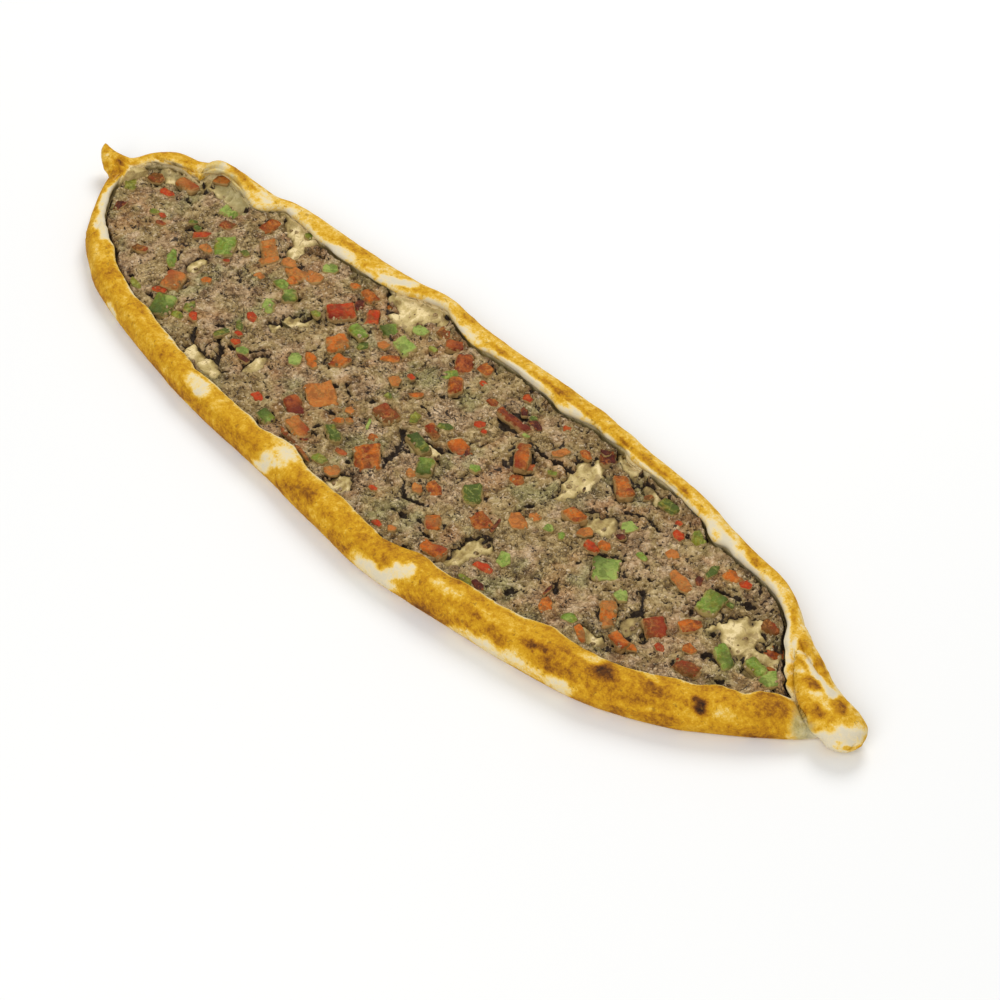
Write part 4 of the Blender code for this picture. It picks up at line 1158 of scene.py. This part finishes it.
# ---------------------------------------------------------------------------------------------------------
# Small bits of the same vegetables
# Offcuts and shreds from the cutting board, 4 to 15 mm long, mixed into the mince and lying half sunk in its
# top: x, y, length, width, turn and shade of each.
SMALL_GREEN = [
    (-16, -14, 7, 1.6, -48, "f"), (36, 32.5, 4, 2.4, 20, "f"), (84, 2, 4.5, 4, 0, "f"),
    (-133, 47, 6, 4, 10, "y"), (-163, -11, 12, 5, -50, "l"), (-108, 39.5, 8, 6, 20, "f"),
    (-114, 15.5, 8, 5, -10, "l"), (-131, -25, 8, 5, -70, "d"), (-130, -33, 7, 4, 10, "y"),
    (-160, -34, 10, 4, -20, "y"), (-105, -16, 10, 3, -40, "d"), (-107, -25, 8, 4, 80, "d"),
    (-90, -26, 6, 5, 0, "f"), (-48, 43, 8, 6, 0, "f"), (-57, 17, 6, 5, 70, "d"), (-17, 33, 8, 5, 60, "l"),
    (-6, 4, 8, 5, -60, "y"), (-34, 39, 5, 3, 0, "y"), (-70, -12, 9, 6, -40, "f"), (-13, -44, 8, 5, 0, "y"),
    (36, 3, 6, 5, 0, "l"), (8, 10, 7, 4, 30, "d"), (106, 27.5, 7, 6, 0, "f"), (132, -1.5, 7, 6, -40, "f"),
    (91, 3, 5, 3, -30, "l"), (148, 36, 8, 4, -80, "d"), (83, -44, 8, 4, 0, "y"), (84, -24, 9, 6, -30, "f"),
    (128, -26, 7, 5, 20, "l"), (206, 12, 10, 8.5, 60, "f"), (-177, 12, 5, 2.5, 40, "d"),
    (-172, 11, 4, 2.5, 0, "d"), (-196, 3, 5, 3, 20, "y"), (-143, 17, 5, 3, 0, "d"), (60, 26, 5, 3, 30, "y"),
    (122, 20, 5, 3, -10, "l"), (166, 28, 5, 3, 0, "d"), (-24, 4, 4, 3, 0, "y"), (30, 42, 5, 3, -30, "d"),
    (-88, 15, 5, 4, 10, "y"),
]
SMALL_RED = [
    (-204, 17, 7, 4.5, 20, "b"), (-191.5, 5, 4.5, 3.5, 0, "b"), (-187.5, 0.5, 5, 3.5, 10, "o"),
    (-167, 10, 9, 4, 70, "b"), (-211, -6, 7, 5, -60, "m"), (-145, 7, 4, 3, 0, "b"),
    (-150, -28, 8, 4.5, 30, "b"), (-124, -28, 7, 4, -20, "b"), (-105, -9, 8, 4.5, -20, "b"),
    (-97.5, -24, 5.5, 4.5, 0, "b"), (-100.5, -20, 4.5, 3, 0, "b"), (-86, -29, 8, 3, 10, "m"),
    (-79, 33, 7, 4.5, -30, "m"), (-27, 20, 5, 3.5, 0, "b"), (-2, 41, 4, 3, 0, "b"),
    (-28, -41, 5, 4, 0, "m"), (-10, -34, 6, 3.5, 30, "o"), (18, 49, 6.5, 4.5, -20, "b"),
    (24, 42, 7, 3, -35, "m"), (34, 40, 8, 3.5, -10, "m"), (45, 49, 7, 4.5, -20, "b"),
    (51, 21, 5, 4, 60, "o"), (17, 22, 6.5, 4.5, 0, "b"), (21.5, 20.5, 3.5, 2.5, 0, "b"),
    (26.5, 6.5, 5, 2.5, -60, "m"), (16, -38, 4.5, 2.2, 0, "b"), (33, -50, 5, 3, 0, "b"),
    (68, -14, 9, 2.2, -70, "m"), (124, 40, 5.5, 4.5, 0, "b"), (108, 21, 4.5, 3.5, 0, "m"),
    (148, 28, 6, 4, -30, "m"), (162, 41, 6.5, 5, 0, "b"), (83, -34, 8, 4.5, 10, "b"),
    (89, -42, 8, 4, -10, "m"), (110, -22, 8, 2.2, -75, "m"), (195, 25, 8, 7, 0, "o"),
    (164, -10, 5.5, 4.5, 0, "b"), (118, 45, 4, 3, 0, "b"), (66, 52, 7, 4, -30, "m"),
]
SMALL_TOMATO = [
    (-216, 20, 10, 7, -15, "b"), (-165, 23, 7, 6, 0, "b"), (-158, 5.5, 7, 5, 0, "s"),
    (-132, 22, 9, 6, 70, "s"), (-124, 28, 7.5, 6, 0, "s"), (-109, 30, 9, 7.5, 0, "s"),
    (-113, 21, 6, 5, 0, "o"), (-91, 41, 5, 4, 60, "o"), (-38, 50, 10, 7.5, -10, "b"),
    (-42, 21, 9, 4, 30, "f"), (-52, 24, 6, 5, 0, "s"), (-29, 12.5, 8, 6, -20, "s"),
    (-16, 14, 6.5, 3.5, 50, "o"), (-8, 48, 8, 6.5, 0, "f"), (-67, -6, 6.5, 5, -20, "o"),
    (-62.5, -8, 4.5, 4, 0, "o"), (-28, -15, 5, 4, 0, "s"), (-23, -19, 4.5, 3, 0, "o"),
    (-26, -22, 5, 4, 0, "f"), (-8, -18, 4.5, 4, 0, "f"), (-4, -44, 8, 6.5, 60, "s"),
    (54, 37, 9, 5, 75, "s"), (53, 12, 6.5, 6, 0, "f"), (72, -5, 10, 7.5, -20, "s"),
    (20, -20, 5.5, 5, 0, "s"), (34, -19, 9, 6, -15, "f"), (29, -24, 6.5, 5, 0, "s"),
    (40, -48, 5, 4, 0, "s"), (99, 46, 5, 4, 60, "b"), (96, 12, 8, 6, 70, "s"), (107, 12, 7, 5, 0, "o"),
    (143, 22, 12, 6, -25, "s"), (155, 40, 8, 7, 0, "f"), (137, -29, 9, 3.5, -25, "o"),
    (116, -29, 7.5, 7, -30, "o"), (163, 8, 10, 7, 70, "f"), (201, 17, 4, 3, 0, "o"),
    (155, -19, 8, 4, 10, "o"), (-194.5, 42.5, 7.5, 6, 20, "s"), (-140, -8, 5, 4, 0, "f"),
    (-178, -18, 9, 5, 10, "b"), (10, 36, 5, 4, 0, "f"), (75, 2, 6, 5, 0, "s"), (130, 30, 6, 5, 0, "s"),
    (-34, -44.6, 14, 2.6, -4, "b"), (-21, -46.8, 13, 2.4, -10, "b"), (172, -2, 6, 5, 0, "f"),
    (-70, 45, 5, 4, 0, "f"), (-126, 12, 5, 4, 20, "s"), (62, 44, 6, 4, -20, "f"),
]

top_tree = kdtree.KDTree(len(mince_place))
for index, (x, y) in enumerate(mince_place):
    top_tree.insert((x, y, 0), index)
top_tree.balance()


def surface_at(x, y):
    """Height of the filling's even top at a place, or of the bare dough where there is no mince."""
    found = top_tree.find((x, y, 0))[1]
    if bare[found] > 1:
        return max(even_top[found] * min(1.0, 0.2 + at_rim[found]), FLOOR_HEIGHT + 2)
    gap = np.hypot(place[:, 0] - x, place[:, 1] - y)
    return place[np.argmin(np.where(inside_lip > 0.3, gap, np.inf)), 2]


def small_bit(row, shade, picker, shape, layers):
    """Adds one small bit: an uneven slab of 5 to 7 corners, tilted a little, nearly flush with the mince."""
    x, y, length, width, turn, _ = row
    thick = min(2.6, 0.45 * width + 0.7)
    turn = math.radians(turn + picker.uniform(-8, 8))
    top = surface_at(x, y) + picker.uniform(0.6, 1.1)
    count = picker.choice((5, 6, 7))
    start = picker.uniform(0, 2 * math.pi)
    tilt_x, tilt_y = picker.uniform(-0.12, 0.12), picker.uniform(-0.12, 0.12)
    corners = []
    for k in range(count):
        angle = start + 2 * math.pi * (k + picker.uniform(-0.22, 0.22)) / count
        cos, sin = math.cos(angle), math.sin(angle)
        out = 1.12 / max(abs(cos), abs(sin), 0.8) * picker.uniform(0.86, 1.1)
        corners.append((0.5 * length * out * cos, 0.5 * width * out * sin))
    rings = []
    for drop, taper in ((thick, 0.8), (0.45 * thick, 1.0), (0.0, 0.92)):
        ring = []
        for along_it, across_it in corners:
            off_x = taper * (along_it * math.cos(turn) - across_it * math.sin(turn))
            off_y = taper * (along_it * math.sin(turn) + across_it * math.cos(turn))
            z = top - drop + tilt_x * off_x + tilt_y * off_y
            made = shape.verts.new(Vector((x + off_x, y + off_y, z)) * MM)
            made[layers["shade"]] = shade
            made[layers["skin"]] = 0.0
            ring.append(made)
        rings.append(ring)
    for lower, upper in zip(rings, rings[1:]):
        for k in range(count):
            j = (k + 1) % count
            shape.faces.new((lower[k], lower[j], upper[j], upper[k]))
    shape.faces.new(rings[0][::-1])
    shape.faces.new(rings[-1])


small_bits = {"green_pepper": SMALL_GREEN, "red_pepper": SMALL_RED, "tomato": SMALL_TOMATO}
for seed, (kind, rows) in enumerate(small_bits.items()):
    shape, layers = blank_shape()
    picker = random.Random(31 + seed)
    for row in rows:
        small_bit(row, SHADE_PLACES[kind][row[5]], picker, shape, layers)
    bits = finished_bits("small_" + kind, shape, VEGETABLES[kind], BIT_ROUNDING, 0.32, 140 + 10 * seed)
    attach(bits, "root")

# ---------------------------------------------------------------------------------------------------------
# Stage: a plain pale floor, soft daylight from above and behind, and the camera.
floor_mesh = bpy.data.meshes.new("floor")
# Half the width of the floor, and its level, in metres.
FLOOR_HALF = 4
FLOOR_LEVEL = -0.0003
around = ((-1, -1), (1, -1), (1, 1), (-1, 1))
floor_mesh.from_pydata([(x * FLOOR_HALF, y * FLOOR_HALF, FLOOR_LEVEL) for x, y in around], [], [(0, 1, 2, 3)])
floor = shown("floor", floor_mesh)
floor_paint, shader = finish("floor_paint", 0.9, 0.2)
shader.inputs["Base Color"].default_value = (0.86, 0.86, 0.85, 1)
floor_mesh.materials.append(floor_paint)


# Soft lights, aimed at the middle of the object: name, place, width, power.
SOFT_LIGHTS = (
    ("window_light", (-0.55, 0.95, 1.25), 0.9, 14),
    ("front_fill", (0.7, -1.3, 1.3), 1.6, 21),
)
for name, corner, size, power in SOFT_LIGHTS:
    lamp = bpy.data.lights.new(name, "AREA")
    lamp.shape = "DISK"
    lamp.size = size
    lamp.energy = power
    holder = shown(name, lamp)
    holder.location = corner
    holder.rotation_euler = (-Vector(corner)).to_track_quat("-Z", "Y").to_euler()
room = bpy.data.worlds.new("room")
room.use_nodes = True
room.node_tree.nodes["Background"].inputs["Color"].default_value = (1.0, 1.0, 1.0, 1)
room.node_tree.nodes["Background"].inputs["Strength"].default_value = 0.5
bpy.context.scene.world = room
bpy.context.scene.view_settings.view_transform = "Standard"

lens = bpy.data.cameras.new("camera")
lens.lens = 100.3
lens.sensor_width = 36
camera = shown("camera", lens)
camera.location = (0.6853, -0.5593, 0.8485)
camera.rotation_euler = (Vector((0.0507, 0.0040, 0.0)) - camera.location).to_track_quat("-Z", "Y").to_euler()
bpy.context.scene.camera = camera
